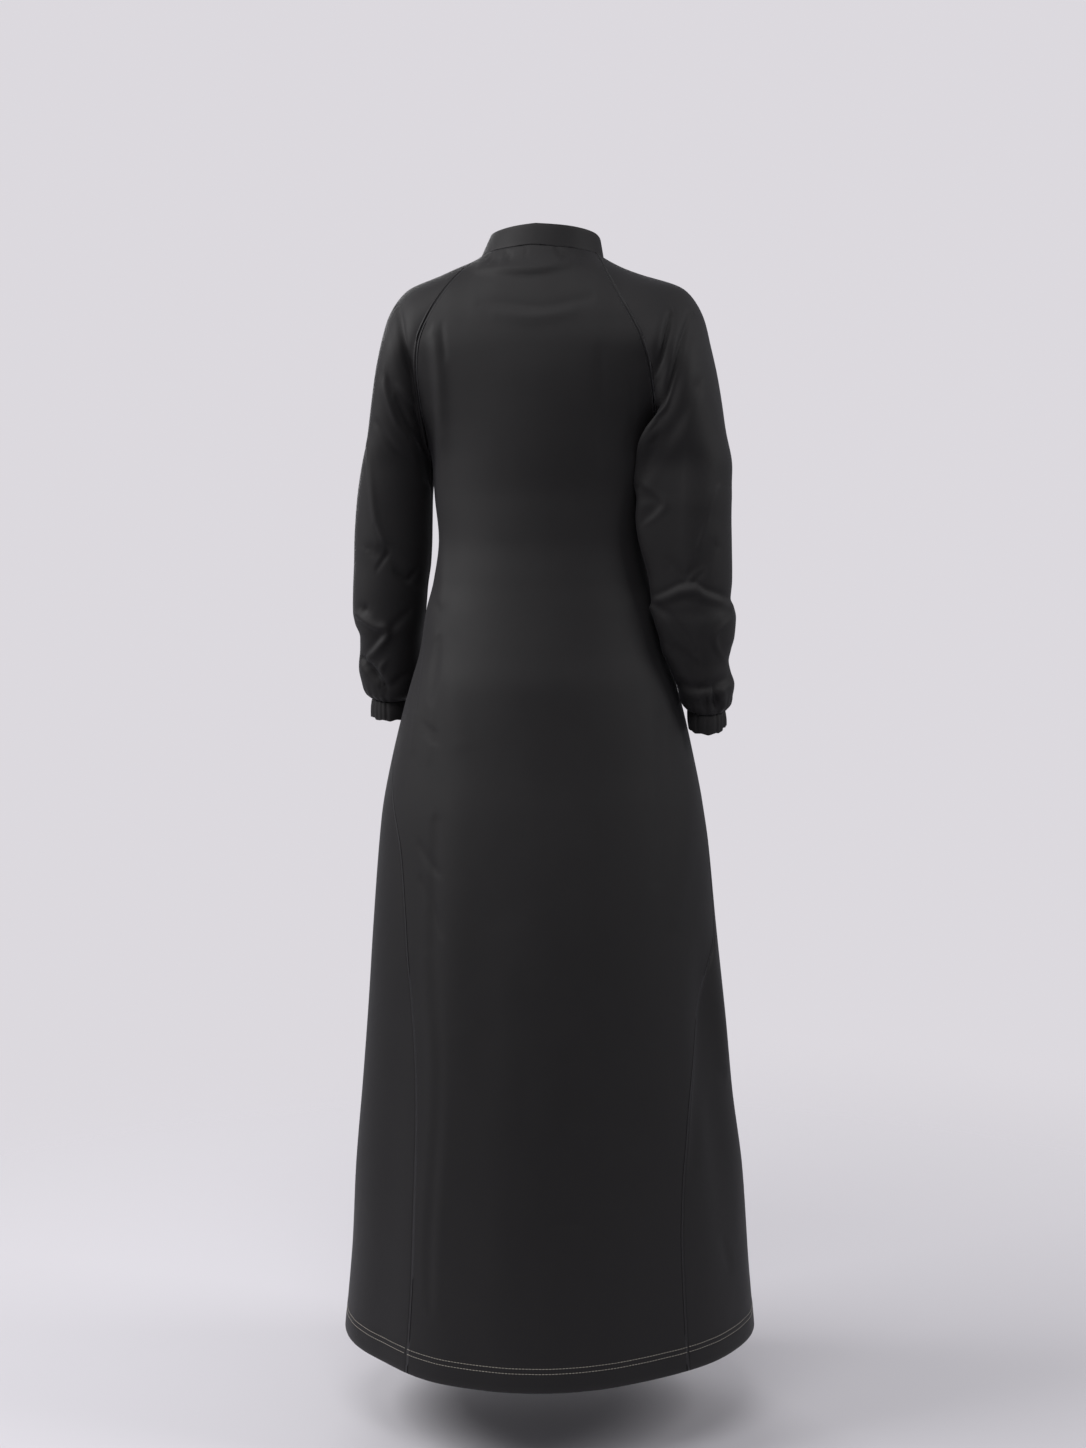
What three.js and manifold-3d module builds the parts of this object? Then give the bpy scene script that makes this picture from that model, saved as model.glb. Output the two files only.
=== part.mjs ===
// A full-length jilbab, filled out as when worn: one back and two fronts from neck to hem, raglan sleeves
// gathered into cuffs, a stand collar and a centre-front zip whose slider has a hinged pull.
// Millimetres, +Z up, the back towards +Y. The origin is the middle of the neck, level with its back seam.
import * as THREE from 'three';
import { mergeVertices } from 'three/addons/utils/BufferGeometryUtils.js';
import Module from 'manifold-3d';

const { smoothstep, lerp, clamp, degToRad, radToDeg } = THREE.MathUtils;

// ---- Driving dimensions ----
const CLOTH = 1.6; // wall of one layer
const DOUBLED = 2.4; // wall of the turned hem and of the collar
const SEAM_GAP = 0.3; // between neighbouring pieces
const HEM_Z = -1426;
const HEM_TURN_UP = 32;
const UNDERARM_Z = -265;
const RUN_IN_Z = -330; // where a sleeve's section starts to run into the raglan line's
const UNDERARM_EASE = 1; // how far the sleeve stands off the side seam at the underarm
const BAG_CLEARANCE = 2.2; // between the bagging right sleeve and the back under it
const COLLAR_HEIGHT = { back: 28, front: 28 };
const COLLAR_TOP = { half: 70, mid: 1.5, widest: -10, back: 54, front: -67 };
const CUFF_HEIGHT = 25;
const CUFF_GATHERS = 12;
const CUFF_GATHER_DEPTH = 2;
const CUFF_FLARE = 2; // how far a cuff's lower edge lies outwards of its upper one
const ZIP_END_Z = -520;
const ZIP_OPENING = 3.5; // from the centre line to each front's edge
const TAPE_HALF = 12;
const TAPE_WALL = 0.8;
const TAPE_CLEARANCE = 0.6; // behind the cloth
const TEETH_HALF = 2.7;
const TEETH_DEPTH = 0.4; // how far the teeth lie below the cloth's face
const SLIDER = { width: 9, foot: 7.4, above: 5, below: 6, wall: 2.5, standoff: 0.35, up: 0.7 };
const BAIL = { reach: 3.2, room: 1.6, top: 6.8, under: 5.6, wall: 1.6 };
const PULL = { width: 6, length: 20, wall: 1.2, bar: 0.8, eye: 4.7, eyeHalf: 1.7, axisHeight: 4.2, rest: 5 };

// The upper body is turned to the wearer's right above the waist, while the skirt hangs straight, and the
// left shoulder is carried a little higher than the right.
const TURN = degToRad(12);
const TURN_STARTS_Z = -590;
const TURN_FULL_Z = -280;
const TURN_SHIFT = 2;
const SHOULDER_RISE = 3;

// ---- Tables ----
// table(names, rows)(key) gives each named column at that key, on a smooth curve that stays within its rows.
function table(names, rows) {
  const keys = rows.map((row) => row[0]);
  const rise = (k, c) => (rows[k + 1][c] - rows[k][c]) / (keys[k + 1] - keys[k]);
  const slope = (k, c) => {
    if (k === 0) return rise(0, c);
    if (k === keys.length - 1) return rise(k - 1, c);
    const [before, after] = [rise(k - 1, c), rise(k, c)];
    return before * after <= 0 ? 0 : (2 * before * after) / (before + after);
  };
  return (key) => {
    let k = 0;
    while (k < keys.length - 2 && key > keys[k + 1]) k += 1;
    const step = keys[k + 1] - keys[k];
    const s = clamp((key - keys[k]) / step, 0, 1);
    const row = {};
    names.forEach((name, c) => {
      row[name] = hermite(rows[k][c], slope(k, c) * step, rows[k + 1][c], slope(k + 1, c) * step, s);
    });
    return row;
  };
}

function hermite(from, leaving, to, arriving, s) {
  const [s2, s3] = [s * s, s * s * s];
  return (2 * s3 - 3 * s2 + 1) * from + (s3 - 2 * s2 + s) * leaving
    + (3 * s2 - 2 * s3) * to + (s3 - s2) * arriving;
}

// The body's level sections: half the width, the middle's x, the y of the widest line, and the centre
// back's and centre front's y.
const BODY = table(['z', 'half', 'mid', 'widest', 'back', 'front'], [
  [HEM_Z, 276.5, -5, -25, 233, -230],
  [-1318, 266.5, -5, -23, 224, -217],
  [-1207, 259, -3.5, -20, 214, -203],
  [-1096, 246.5, -0.5, -18, 204, -190],
  [-987, 237, 0.5, -15, 192, -178],
  [-878, 228.3, 2, -13, 179, -166],
  [-769, 218.6, 3, -11, 163, -153],
  [-715, 211.4, 4, -10, 154, -146],
  [-662, 201, 4, -10, 144, -139],
  [-588, 183.5, 3.5, -9, 133, -131],
  [-555, 174, 3.5, -8, 128, -128],
  [-515, 162, 4, -7, 118, -126],
  [-463, 154, 4, -6, 105.5, -122],
  [-423, 143, 5, -5, 98, -121],
  [-370, 136, 5.5, -5, 92, -120],
  [-318, 142, 5, -5, 92, -122],
  [UNDERARM_Z, 150, 0, -5, 98, -128],
]);

// The side seams' angles from centre back, in degrees, on the wearer's left and right.
const SIDE_SEAM = table(['z', 'left', 'right'], [
  [HEM_Z, 42, 42],
  [-1215, 42, 42],
  [-1150, 42, 46],
  [-1060, 43.6, 51.5],
  [-960, 47.5, 60],
  [-915, 50, 68],
  [-885, 51.5, 80],
  [-852, 53, 81],
  [-771, 58, 83],
  [-678, 75, 85],
  [-635, 90, 90],
  [UNDERARM_Z, 90, 90],
]);

// The skirt's upright folds: each one's angle from centre back (+ to the wearer's left), its width in
// degrees, how far it stands out (- for a valley), the heights where it starts and is fullest, and the
// share of it that is left at the hem.
const FLUTES = [
  { angle: 31, width: 8, out: 4, starts: -560, fullest: -900, atHem: 0.5 },
  { angle: 46, width: 11, out: -4, starts: -700, fullest: -1250, atHem: 1 },
  { angle: 76, width: 12, out: 2, starts: -800, fullest: -1200, atHem: 1 },
  { angle: 112, width: 16, out: -6, starts: -700, fullest: -1200, atHem: 1 },
  { angle: 143, width: 15, out: 6, starts: -750, fullest: -1150, atHem: 1 },
  { angle: 170, width: 14, out: -5, starts: -800, fullest: -1200, atHem: 1 },
  { angle: -152, width: 15, out: 6, starts: -720, fullest: -1100, atHem: 1 },
  { angle: -120, width: 17, out: -6, starts: -760, fullest: -1200, atHem: 1 },
  { angle: -79, width: 10, out: 4, starts: -820, fullest: -1040, atHem: 0.5 },
  { angle: -61, width: 8, out: -7, starts: -850, fullest: -1000, atHem: 0.15 },
  { angle: -31, width: 24, out: -13, starts: -900, fullest: -1380, atHem: 1 },
];

// The neckline's height by angle from centre back, its plan, and the angles where the raglan seams and the
// overarm line meet it.
const NECK_Z = table(['angle', 'z'], [[0, 2], [68, -5], [96, -14], [132, -38], [180, -58]]);
const NECK = { half: 81, mid: 4.5, widest: -10, back: 62, front: -76 };
const NECK_SEAM = { back: 68, overarm: 96, front: 132 };

// The raglan line from the underarm (step 0) to the neck (step 8), for the wearer's left: the back seam b,
// the overarm line o and the front seam f as x, y, z, the shift of the body towards the left, the lean in
// degrees and the pull of the sleeve as it leaves its seams, the centre back's and centre front's y and z,
// the y of the widest line, and how far the right sleeve bags over the back.
const RAGLAN = table(
  ['step', 'bx', 'by', 'bz', 'ox', 'oy', 'oz', 'fx', 'fy', 'fz', 'mid', 'lean', 'pull',
    'backY', 'backZ', 'frontY', 'frontZ', 'widest', 'bag'],
  [
    [0, 150, -5, -265, 245, -5, -265, 150, -5, -265, 0, 90, 240, 98, -265, -128, -265, -5, 40],
    [0.5, 151, 16, -256, 240, -5, -250, 150, -26, -258, 0, 82, 228, 99.5, -250, -129, -251, -5.3, 38],
    [1, 152, 28, -235, 236, -5, -232, 150, -40, -240, 0, 72, 215, 101, -233, -130, -236, -5.6, 32],
    [2, 153, 55, -200, 231, -5, -198, 147, -74, -208, 0, 50, 180, 103, -199, -128, -206, -6.2, 7],
    [3, 152, 73, -162, 225, -5, -163, 139, -94, -176, 1, 30, 160, 104, -163, -122, -178, -6.9, 0],
    [4, 145, 84, -121, 216, -5, -122, 126, -104, -143, 3, 12, 150, 102, -126, -114, -150, -7.5, 0],
    [5, 131, 80, -89, 206.5, -5, -84, 110, -102, -112, 4.5, 0, 145, 97, -95, -105, -124, -8.1, 0],
    [6, 112, 70, -57, 181.5, -6, -48, 92, -92, -84, 5, -15, 130, 88, -64, -96, -100, -8.7, 0],
    [7, 93, 50, -28, 129, -8, -29.5, 75, -77, -60, 5, -35, 95, 76, -32, -86, -78, -9.4, 0],
    [8, 78, 17, -6, 83.5, -17, -14, 63, -54, -38, 4.5, -60, 40, 62, 2, -76, -58, -10, 0],
  ],
);

// The sleeves' sections below the underarm: the outer and inner edges' distance from the centre plane, the
// middle's y, half the depth, the tip of the section towards the front in degrees, and the bagging.
const ARM_COLUMNS = ['z', 'outer', 'inner', 'y', 'half', 'tip', 'bag'];
const LEFT = {
  name: 'left',
  side: 1,
  wristZ: -582,
  arm: table(ARM_COLUMNS, [
    [-582, 236, 184, -86, 31, 10, 0],
    [-572, 244, 176, -84, 36, 11, 0],
    [-560, 250, 170, -82, 40, 12, 0],
    [-540, 253.5, 168, -79, 44, 11, 0],
    [-515, 251, 168, -75, 47, 10, 0],
    [-498, 250.5, 168, -72, 48, 9, 0],
    [-480, 257, 167, -69, 50, 8, 0],
    [-464, 259.5, 166, -67, 51, 7, 0],
    [-430, 258, 163, -61, 53, 6, 0],
    [-400, 256, 158, -58, 55, 5, 0],
    [-370, 254.5, 156, -54, 56, 4, 0],
    [-318, 249.5, 155, -50, 58, 2, 0],
    [UNDERARM_Z, 240, 148.7, -45, 60, 0, 0],
  ]),
};
const RIGHT = {
  name: 'right',
  side: -1,
  wristZ: -591,
  arm: table(ARM_COLUMNS, [
    [-591, 234, 187, 18, 29, 12, 0],
    [-574, 243, 181, 20, 35, 12, 2],
    [-557, 246, 175, 22, 42, 12, 4],
    [-541, 241, 172, 24, 43, 12, 8],
    [-526, 238, 167, 25, 45, 11, 10],
    [-510, 241, 162, 26, 49, 10, 15],
    [-494, 245, 158, 28, 51, 9, 17],
    [-470, 246.5, 153, 30, 54, 8, 20],
    [-455, 243, 150, 31, 52, 7, 21],
    [-446, 239, 149, 32, 52, 7, 15],
    [-422, 240.5, 146, 34, 55, 6, 15],
    [-370, 239, 138, 36, 58, 4, 25],
    [-340, 238, 140, 37, 59, 3, 30],
    [-318, 237.8, 143, 38, 60, 2, 31],
    [-293, 236, 145, 38, 61, 1, 38],
    [UNDERARM_Z, 235.5, 146.7, 38, 62, 0, 40],
  ]),
};

// The sleeves' largest folds, as strokes on the side that faces the back (facing 1) or the front (-1): how
// far each stands out (- for a valley), how wide it is, and its route as x, z.
const SLEEVE_FOLDS = {
  left: [
    { facing: 1, out: -6, width: 11, route: [[193, -84], [186, -122], [169, -168], [162, -223], [154, -290]] },
    { facing: 1, out: 4, width: 13, route: [[212, -120], [223, -183], [229, -241], [228, -302], [216, -370]] },
    { facing: 1, out: -4, width: 9, route: [[206, -161], [193, -182], [168, -213]] },
    { facing: 1, out: -4, width: 10, route: [[228, -381], [210, -388], [190, -412], [171, -429]] },
    { facing: 1, out: 6, width: 11, route: [[252, -472], [227, -488], [216, -492], [223, -509], [243, -532]] },
    { facing: 1, out: -5, width: 8, route: [[246, -542], [232, -557], [220, -569]] },
    { facing: -1, out: -5, width: 11, route: [[190, -100], [178, -150], [165, -210]] },
    { facing: -1, out: -5, width: 10, route: [[225, -360], [200, -390], [172, -400]] },
    { facing: -1, out: 6, width: 12, route: [[178, -440], [205, -452], [238, -446]] },
    { facing: -1, out: -5, width: 9, route: [[185, -545], [205, -560], [230, -556]] },
  ],
  right: [
    { facing: 1, out: -5, width: 10, route: [[-156, -94], [-150, -115], [-142, -144], [-137, -169]] },
    { facing: 1, out: -5, width: 10, route: [[-183, -94], [-167, -136], [-151, -196], [-138, -221]] },
    { facing: 1, out: -4, width: 10, route: [[-119, -301], [-138, -264], [-160, -236], [-191, -183]] },
    { facing: 1, out: -5, width: 9, route: [[-120, -301], [-145, -314], [-150, -327], [-127, -355]] },
    { facing: 1, out: -4, width: 10, route: [[-159, -403], [-178, -425], [-195, -409], [-217, -377]] },
    { facing: 1, out: 7, width: 12, route: [[-137, -446], [-156, -437], [-178, -432], [-207, -437], [-238, -451]] },
    { facing: 1, out: -5, width: 10, route: [[-165, -514], [-184, -530], [-193, -559]] },
    { facing: 1, out: -5, width: 8, route: [[-172, -557], [-191, -564], [-216, -560], [-239, -547]] },
    { facing: -1, out: -5, width: 11, route: [[-195, -100], [-182, -150], [-165, -205]] },
    { facing: -1, out: -5, width: 10, route: [[-228, -350], [-205, -385], [-175, -398]] },
    { facing: -1, out: 6, width: 12, route: [[-170, -470], [-200, -480], [-236, -470]] },
    { facing: -1, out: -5, width: 9, route: [[-178, -548], [-205, -565], [-232, -555]] },
  ],
};

// ---- The surfaces ----
const UP = new THREE.Vector3(0, 0, 1);
const turnAt = (z) => smoothstep(z, TURN_STARTS_Z, TURN_FULL_Z);

function turned(x, y, z) {
  const share = turnAt(z);
  const point = new THREE.Vector3(x, y, z).applyAxisAngle(UP, -TURN * share);
  point.x += TURN_SHIFT * share;
  point.z += SHOULDER_RISE * Math.sign(x) * smoothstep(Math.abs(x), 80, 115) * smoothstep(z, -170, -70);
  return point;
}

// A point of a level oval at an angle from centre back, moved out by some millimetres.
function ovalPoint({ half, mid, widest, back, front }, degrees, out = 0) {
  const [s, c] = [Math.sin(degToRad(degrees)), Math.cos(degToRad(degrees))];
  const reach = c >= 0 ? back - widest : widest - front;
  const long = Math.hypot(s * reach, c * half);
  return [mid + half * s + (out * s * reach) / long, widest + reach * c + (out * c * half) / long];
}

function fluteOut(z, degrees) {
  return FLUTES.reduce((sum, { angle, width, out, starts, fullest, atHem }) => {
    const away = ((degrees - angle + 540) % 360) - 180;
    const growing = 1 - smoothstep(z, fullest, starts);
    const fading = lerp(atHem, 1, smoothstep(z, HEM_Z, fullest));
    return sum + out * growing * fading * Math.exp(-((away / width) ** 2));
  }, 0);
}

function bodyPoint(z, degrees) {
  const [x, y] = ovalPoint(BODY(z), degrees, fluteOut(z, degrees));
  return turned(x, y, z);
}

function neckPoint(degrees) {
  const [x, y] = ovalPoint(NECK, degrees);
  return turned(x, y, NECK_Z(Math.abs(degrees)).z);
}

// Above the underarm a piece runs into the neckline over the last raglan step.
function intoNeck(step, point, degrees) {
  return point.lerp(neckPoint(degrees), smoothstep(step, 7, 8));
}

// The oval through a raglan seam point: the seam's angle from the centre line, and the oval's half width.
function yokeOval(row, seamX, seamY, centreY) {
  const seamAngle = Math.acos((seamY - row.widest) / (centreY - row.widest));
  return { seamAngle: radToDeg(seamAngle), half: seamX / Math.sin(seamAngle) };
}

// across runs from -1 at the wearer's right to 1 at the left.
function backPoint(level, across) {
  if (level.z !== undefined) {
    const seams = SIDE_SEAM(level.z);
    return bodyPoint(level.z, across * (across > 0 ? seams.left : seams.right));
  }
  const row = RAGLAN(level.step);
  const { seamAngle, half } = yokeOval(row, row.bx, row.by, row.backY);
  const a = degToRad(seamAngle * across);
  const x = row.mid + half * Math.sin(a);
  const y = row.widest + Math.cos(a) * (row.backY - row.widest);
  const point = turned(x, y, row.backZ + (row.bz - row.backZ) * across ** 2);
  return intoNeck(level.step, point, NECK_SEAM.back * across);
}

// The angle on a front at x from the centre line.
function centreAngle(half, x) {
  return 180 - radToDeg(Math.asin(x / half));
}

// angleOf(seam, half) picks the place on the front's own oval, from its side or raglan seam to the centre.
function frontPoint(side, level, angleOf) {
  if (level.z !== undefined) {
    const seams = SIDE_SEAM(level.z);
    const seam = side > 0 ? seams.left : seams.right;
    return bodyPoint(level.z, side * angleOf(seam, BODY(level.z).half));
  }
  const row = RAGLAN(level.step);
  const { seamAngle, half } = yokeOval(row, row.fx, row.fy, row.frontY);
  const angle = angleOf(180 - seamAngle, half);
  const a = degToRad(angle);
  const x = row.mid + side * half * Math.sin(a);
  const y = row.widest + Math.cos(a) * (row.widest - row.frontY);
  const share = (180 - angle) / seamAngle;
  const point = turned(x, y, row.frontZ + (row.fz - row.frontZ) * share ** 2);
  return intoNeck(level.step, point, side * lerp(180, NECK_SEAM.front, share));
}

// A sleeve point: around runs from 0 at the back seam, over the arm at 0.5, to 1 at the front seam.
// Below the underarm both ends meet in the sleeve's own seam.
function sleevePoint(arm, level, around) {
  const atBack = around <= 0.5;
  const s = atBack ? around * 2 : around * 2 - 1;
  const row = level.z === undefined ? RAGLAN(level.step) : arm.arm(level.z);
  const point = level.z === undefined
    ? raglanPoint(arm.side, level.step, row, atBack, s)
    : armPoint(arm.side, level.z, row, atBack, s);
  if (level.z > RUN_IN_Z) {
    const toRaglan = raglanPoint(arm.side, 0, RAGLAN(0), atBack, s)
      .sub(armPoint(arm.side, UNDERARM_Z, arm.arm(UNDERARM_Z), atBack, s));
    point.addScaledVector(toRaglan, smoothstep(level.z, RUN_IN_Z, UNDERARM_Z));
  }
  if (arm.side < 0 && atBack && row.bag > 0) {
    point.x += row.bag * Math.sin(Math.PI * clamp(s / 0.45, 0, 1)) ** 2;
    clearOfBody(point, BAG_CLEARANCE);
  }
  return point;
}

function raglanPoint(side, step, row, atBack, s) {
  const ease = side * row.mid + UNDERARM_EASE * (1 - smoothstep(step, 0, 2));
  const lean = degToRad(row.lean);
  const [leaveX, leaveY] = [Math.cos(lean) * row.pull, Math.sin(lean) * row.pull];
  const [x, y, z] = atBack
    ? [hermite(row.bx + ease, leaveX, row.ox, 0, s), hermite(row.by, leaveY, row.oy, -row.pull, s),
      hermite(row.bz, 0, row.oz, 0, s)]
    : [hermite(row.ox, 0, row.fx + ease, -leaveX, s), hermite(row.oy, -row.pull, row.fy, leaveY, s),
      hermite(row.oz, 0, row.fz, 0, s)];
  const neckAngle = atBack ? lerp(NECK_SEAM.back, NECK_SEAM.overarm, s) : lerp(NECK_SEAM.overarm, NECK_SEAM.front, s);
  return intoNeck(step, turned(side * x, y, z), side * neckAngle);
}

function armPoint(side, z, row, atBack, s) {
  const angle = -TURN * turnAt(z);
  const outward = new THREE.Vector3(side, 0, 0).applyAxisAngle(UP, angle);
  const backward = new THREE.Vector3(0, 1, 0).applyAxisAngle(UP, angle);
  const width = (row.outer - row.inner) / Math.cos(angle);
  const along = hermite(0, 0, 1, 0, s);
  const point = new THREE.Vector3((side * (row.outer + row.inner)) / 2, row.y, z)
    .addScaledVector(outward, width * ((atBack ? along : 1 - along) - 0.5))
    .addScaledVector(backward, (atBack ? 4 : -4) * row.half * s * (1 - s));
  point.z -= Math.tan(degToRad(row.tip)) * (point.y - row.y);
  return point;
}

// Moves a point straight out of the body's section at its height until it is clear of it.
function clearOfBody(point, clearance) {
  const { half, mid, widest, back } = BODY(clamp(point.z, HEM_Z, UNDERARM_Z));
  const share = turnAt(point.z);
  const local = point.clone();
  local.x -= TURN_SHIFT * share;
  local.applyAxisAngle(UP, TURN * share);
  const wide = half + clearance + Math.max(point.z - UNDERARM_Z, 0) * 0.3;
  const [u, v] = [(local.x - mid) / wide, (local.y - widest) / (back - widest + clearance)];
  const size = Math.hypot(u, v);
  if (size >= 1 || v < 0) return;
  const [x, y] = [mid + (u / size) * wide, widest + (v / size) * (back - widest + clearance)];
  point.copy(turned(x, y, point.z));
}

// ---- Walls ----
// A piece of cloth: a grid of points with a column for each value in columns and a row for each level.
// winding is 1 where across turned into up faces out, and -1 where it faces in. In the first weldedRows
// rows the first and last columns are one.
function makePiece({ name, levels, columns, pointAt, winding, weldedRows = 0 }) {
  const width = columns.length;
  const index = (j, i) => j * width + (j < weldedRows && i === width - 1 ? 0 : i);
  const points = levels.flatMap((level) => columns.map((across) => pointAt(level, across)));
  const faces = [];
  for (let j = 0; j + 1 < levels.length; j += 1) {
    for (let i = 0; i + 1 < width; i += 1) {
      const [a, b, c, d] = [index(j, i), index(j, i + 1), index(j + 1, i + 1), index(j + 1, i)];
      faces.push(...(winding > 0 ? [[a, b, c], [a, c, d]] : [[a, c, b], [a, d, c]]));
    }
  }
  const piece = { name, levels, columns, points, faces, index, weldedRows };
  piece.normals = normalsOf(piece);
  return piece;
}

function normalsOf({ points, faces }) {
  const normals = points.map(() => new THREE.Vector3());
  const [ab, ac] = [new THREE.Vector3(), new THREE.Vector3()];
  for (const [a, b, c] of faces) {
    ab.subVectors(points[b], points[a]);
    ac.subVectors(points[c], points[a]);
    ab.cross(ac);
    [a, b, c].forEach((corner) => normals[corner].add(ab));
  }
  return normals.map((normal) => normal.normalize());
}

// Presses folds into a piece along its normals, leaving its open edge columns where they are.
function fold(piece, folds) {
  const last = piece.columns.length - 1;
  piece.levels.forEach((_, j) => piece.columns.forEach((_across, i) => {
    if (j < piece.weldedRows && i === last) return;
    const k = piece.index(j, i);
    const fromEdge = j < piece.weldedRows ? 1 : smoothstep(Math.min(i, last - i), 0, 3);
    const out = folds.reduce((sum, { facing, out: height, width, route }) => {
      const seen = smoothstep(piece.normals[k].y * facing, 0.05, 0.4);
      return sum + height * seen * Math.exp(-((offRoute(piece.points[k], route) / width) ** 2));
    }, 0);
    piece.points[k].addScaledVector(piece.normals[k], out * fromEdge);
  }));
  piece.normals = normalsOf(piece);
}

// The distance from a point to a route, both seen along Y.
function offRoute(point, route) {
  const place = new THREE.Vector3(point.x, point.z, 0);
  const nearest = new THREE.Vector3();
  const line = new THREE.Line3();
  return Math.min(...route.slice(1).map(([x, z], k) => {
    line.start.set(route[k][0], route[k][1], 0);
    line.end.set(x, z, 0);
    return line.closestPointToPoint(place, true, nearest).distanceTo(place);
  }));
}

// Gives two pieces one normal along the seam they share, each row by its own share.
function shareSeam(pieceA, columnA, pieceB, columnB, rows) {
  for (const { a, b, share } of rows) {
    const [na, nb] = [pieceA.normals[pieceA.index(a, columnA)], pieceB.normals[pieceB.index(b, columnB)]];
    const both = na.clone().add(nb).normalize();
    na.lerp(both, share).normalize();
    nb.lerp(both, share).normalize();
  }
}

// Draws an edge column back into its own piece by half the seam gap.
function drawBack(piece, column, fromRow = 0) {
  const beside = column === 0 ? 1 : column - 1;
  for (let j = fromRow; j < piece.levels.length; j += 1) {
    const edge = piece.points[piece.index(j, column)];
    const inward = piece.points[piece.index(j, beside)].clone().sub(edge).normalize();
    edge.addScaledVector(inward, SEAM_GAP / 2);
  }
}

// Closes a skin of outer points into a wall: an inner skin under it, and edge faces along each border.
function thicken({ points, normals, faces }, thicknessAt) {
  const count = points.length;
  const inner = points.map((point, k) => point.clone().addScaledVector(normals[k], -thicknessAt(point)));
  const borders = new Map();
  for (const [a, b, c] of faces) {
    for (const [p, q] of [[a, b], [b, c], [c, a]]) {
      if (!borders.delete(`${q} ${p}`)) borders.set(`${p} ${q}`, [p, q]);
    }
  }
  const triangles = faces.flatMap(([a, b, c]) => [a, b, c, c + count, b + count, a + count]);
  for (const [p, q] of borders.values()) triangles.push(q, p, p + count, q, p + count, q + count);
  return geometryOf([...points, ...inner], triangles);
}

function geometryOf(points, triangles) {
  const geometry = new THREE.BufferGeometry().setFromPoints(points);
  geometry.setIndex(triangles);
  geometry.computeVertexNormals();
  return geometry;
}

function named(name, geometry, material) {
  const mesh = new THREE.Mesh(geometry, material);
  mesh.name = name;
  return mesh;
}

// ---- Cloth pieces ----
const HEM_FOLD_Z = HEM_Z + HEM_TURN_UP;
const SKIRT_LEVELS = [HEM_Z, HEM_FOLD_Z, -1345, -1295, -1240, -1185, -1130, -1075, -1020, -965, -915, -865,
  -810, -755, -700, -655, -615, -580, -545, ZIP_END_Z - 4, ZIP_END_Z, -485, -450, -415, -375, -340, -300]
  .map((z) => ({ z }));
const RAGLAN_LEVELS = [0.3, 0.65, 1, 1.5, 2, 2.6, 3.3, 4, 4.8, 5.6, 6.3, 7, 7.5, 8].map((step) => ({ step }));
const BODY_LEVELS = [...SKIRT_LEVELS, { z: UNDERARM_Z }, ...RAGLAN_LEVELS];
const UNDERARM_ROW = SKIRT_LEVELS.length;
const ARM_SHARES = [1, 0.972, 0.935, 0.895, 0.855, 0.815, 0.775, 0.735, 0.695, 0.65, 0.6, 0.545, 0.485,
  0.42, 0.35, 0.27, 0.18, 0.09];
const SLEEVE_UNDERARM_ROW = ARM_SHARES.length;
const FRONT_COLUMNS = 11;

function evenly(count, from = 0, to = 1) {
  return Array.from({ length: count + 1 }, (_, k) => lerp(from, to, k / count));
}

function makeBack() {
  return makePiece({
    name: 'back', levels: BODY_LEVELS, columns: evenly(16, -1, 1), pointAt: backPoint, winding: -1,
  });
}

// The columns run evenly from the seam to a line just past the zip tape, and then to the front's own edge.
function makeFront({ name, side }) {
  const edgeOf = (level) => (level.z < ZIP_END_Z ? 0 : ZIP_OPENING);
  const pointAt = (level, column) => frontPoint(side, level, (seam, half) => (column > FRONT_COLUMNS
    ? centreAngle(half, edgeOf(level))
    : lerp(seam, centreAngle(half, TAPE_HALF + 4), column / FRONT_COLUMNS)));
  return makePiece({
    name: `front_${name}`,
    levels: BODY_LEVELS,
    columns: evenly(FRONT_COLUMNS + 1, 0, FRONT_COLUMNS + 1),
    pointAt,
    winding: -side,
  });
}

function makeSleeve(arm) {
  const armLevels = ARM_SHARES.map((share) => ({ z: lerp(UNDERARM_Z, arm.wristZ, share) }));
  const sleeve = makePiece({
    name: `sleeve_${arm.name}`,
    levels: [...armLevels, { step: 0 }, ...RAGLAN_LEVELS],
    columns: [...evenly(13, 0, 0.5), ...evenly(11, 0.5, 1).slice(1)],
    pointAt: (level, around) => sleevePoint(arm, level, around),
    winding: -arm.side,
    weldedRows: SLEEVE_UNDERARM_ROW + 1,
  });
  fold(sleeve, SLEEVE_FOLDS[arm.name]);
  return sleeve;
}

function sew(back, fronts, sleeves) {
  const lastOf = (piece) => piece.columns.length - 1;
  const sideRows = BODY_LEVELS.slice(0, UNDERARM_ROW + 1).map((_, j) => ({ a: j, b: j, share: 1 }));
  const raglanRows = RAGLAN_LEVELS.map(({ step }, k) => ({
    a: UNDERARM_ROW + 1 + k,
    b: SLEEVE_UNDERARM_ROW + 1 + k,
    share: smoothstep(step, 0.5, 2.6),
  }));
  fronts.forEach((front, k) => {
    const [sleeve, backEdge] = [sleeves[k], k === 0 ? lastOf(back) : 0];
    shareSeam(back, backEdge, front, 0, sideRows);
    shareSeam(back, backEdge, sleeve, 0, raglanRows);
    shareSeam(front, 0, sleeve, lastOf(sleeve), raglanRows);
    drawBack(back, backEdge);
    drawBack(front, 0);
    drawBack(front, lastOf(front));
    drawBack(sleeve, 0, SLEEVE_UNDERARM_ROW + 1);
    drawBack(sleeve, lastOf(sleeve), SLEEVE_UNDERARM_ROW + 1);
  });
}

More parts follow.
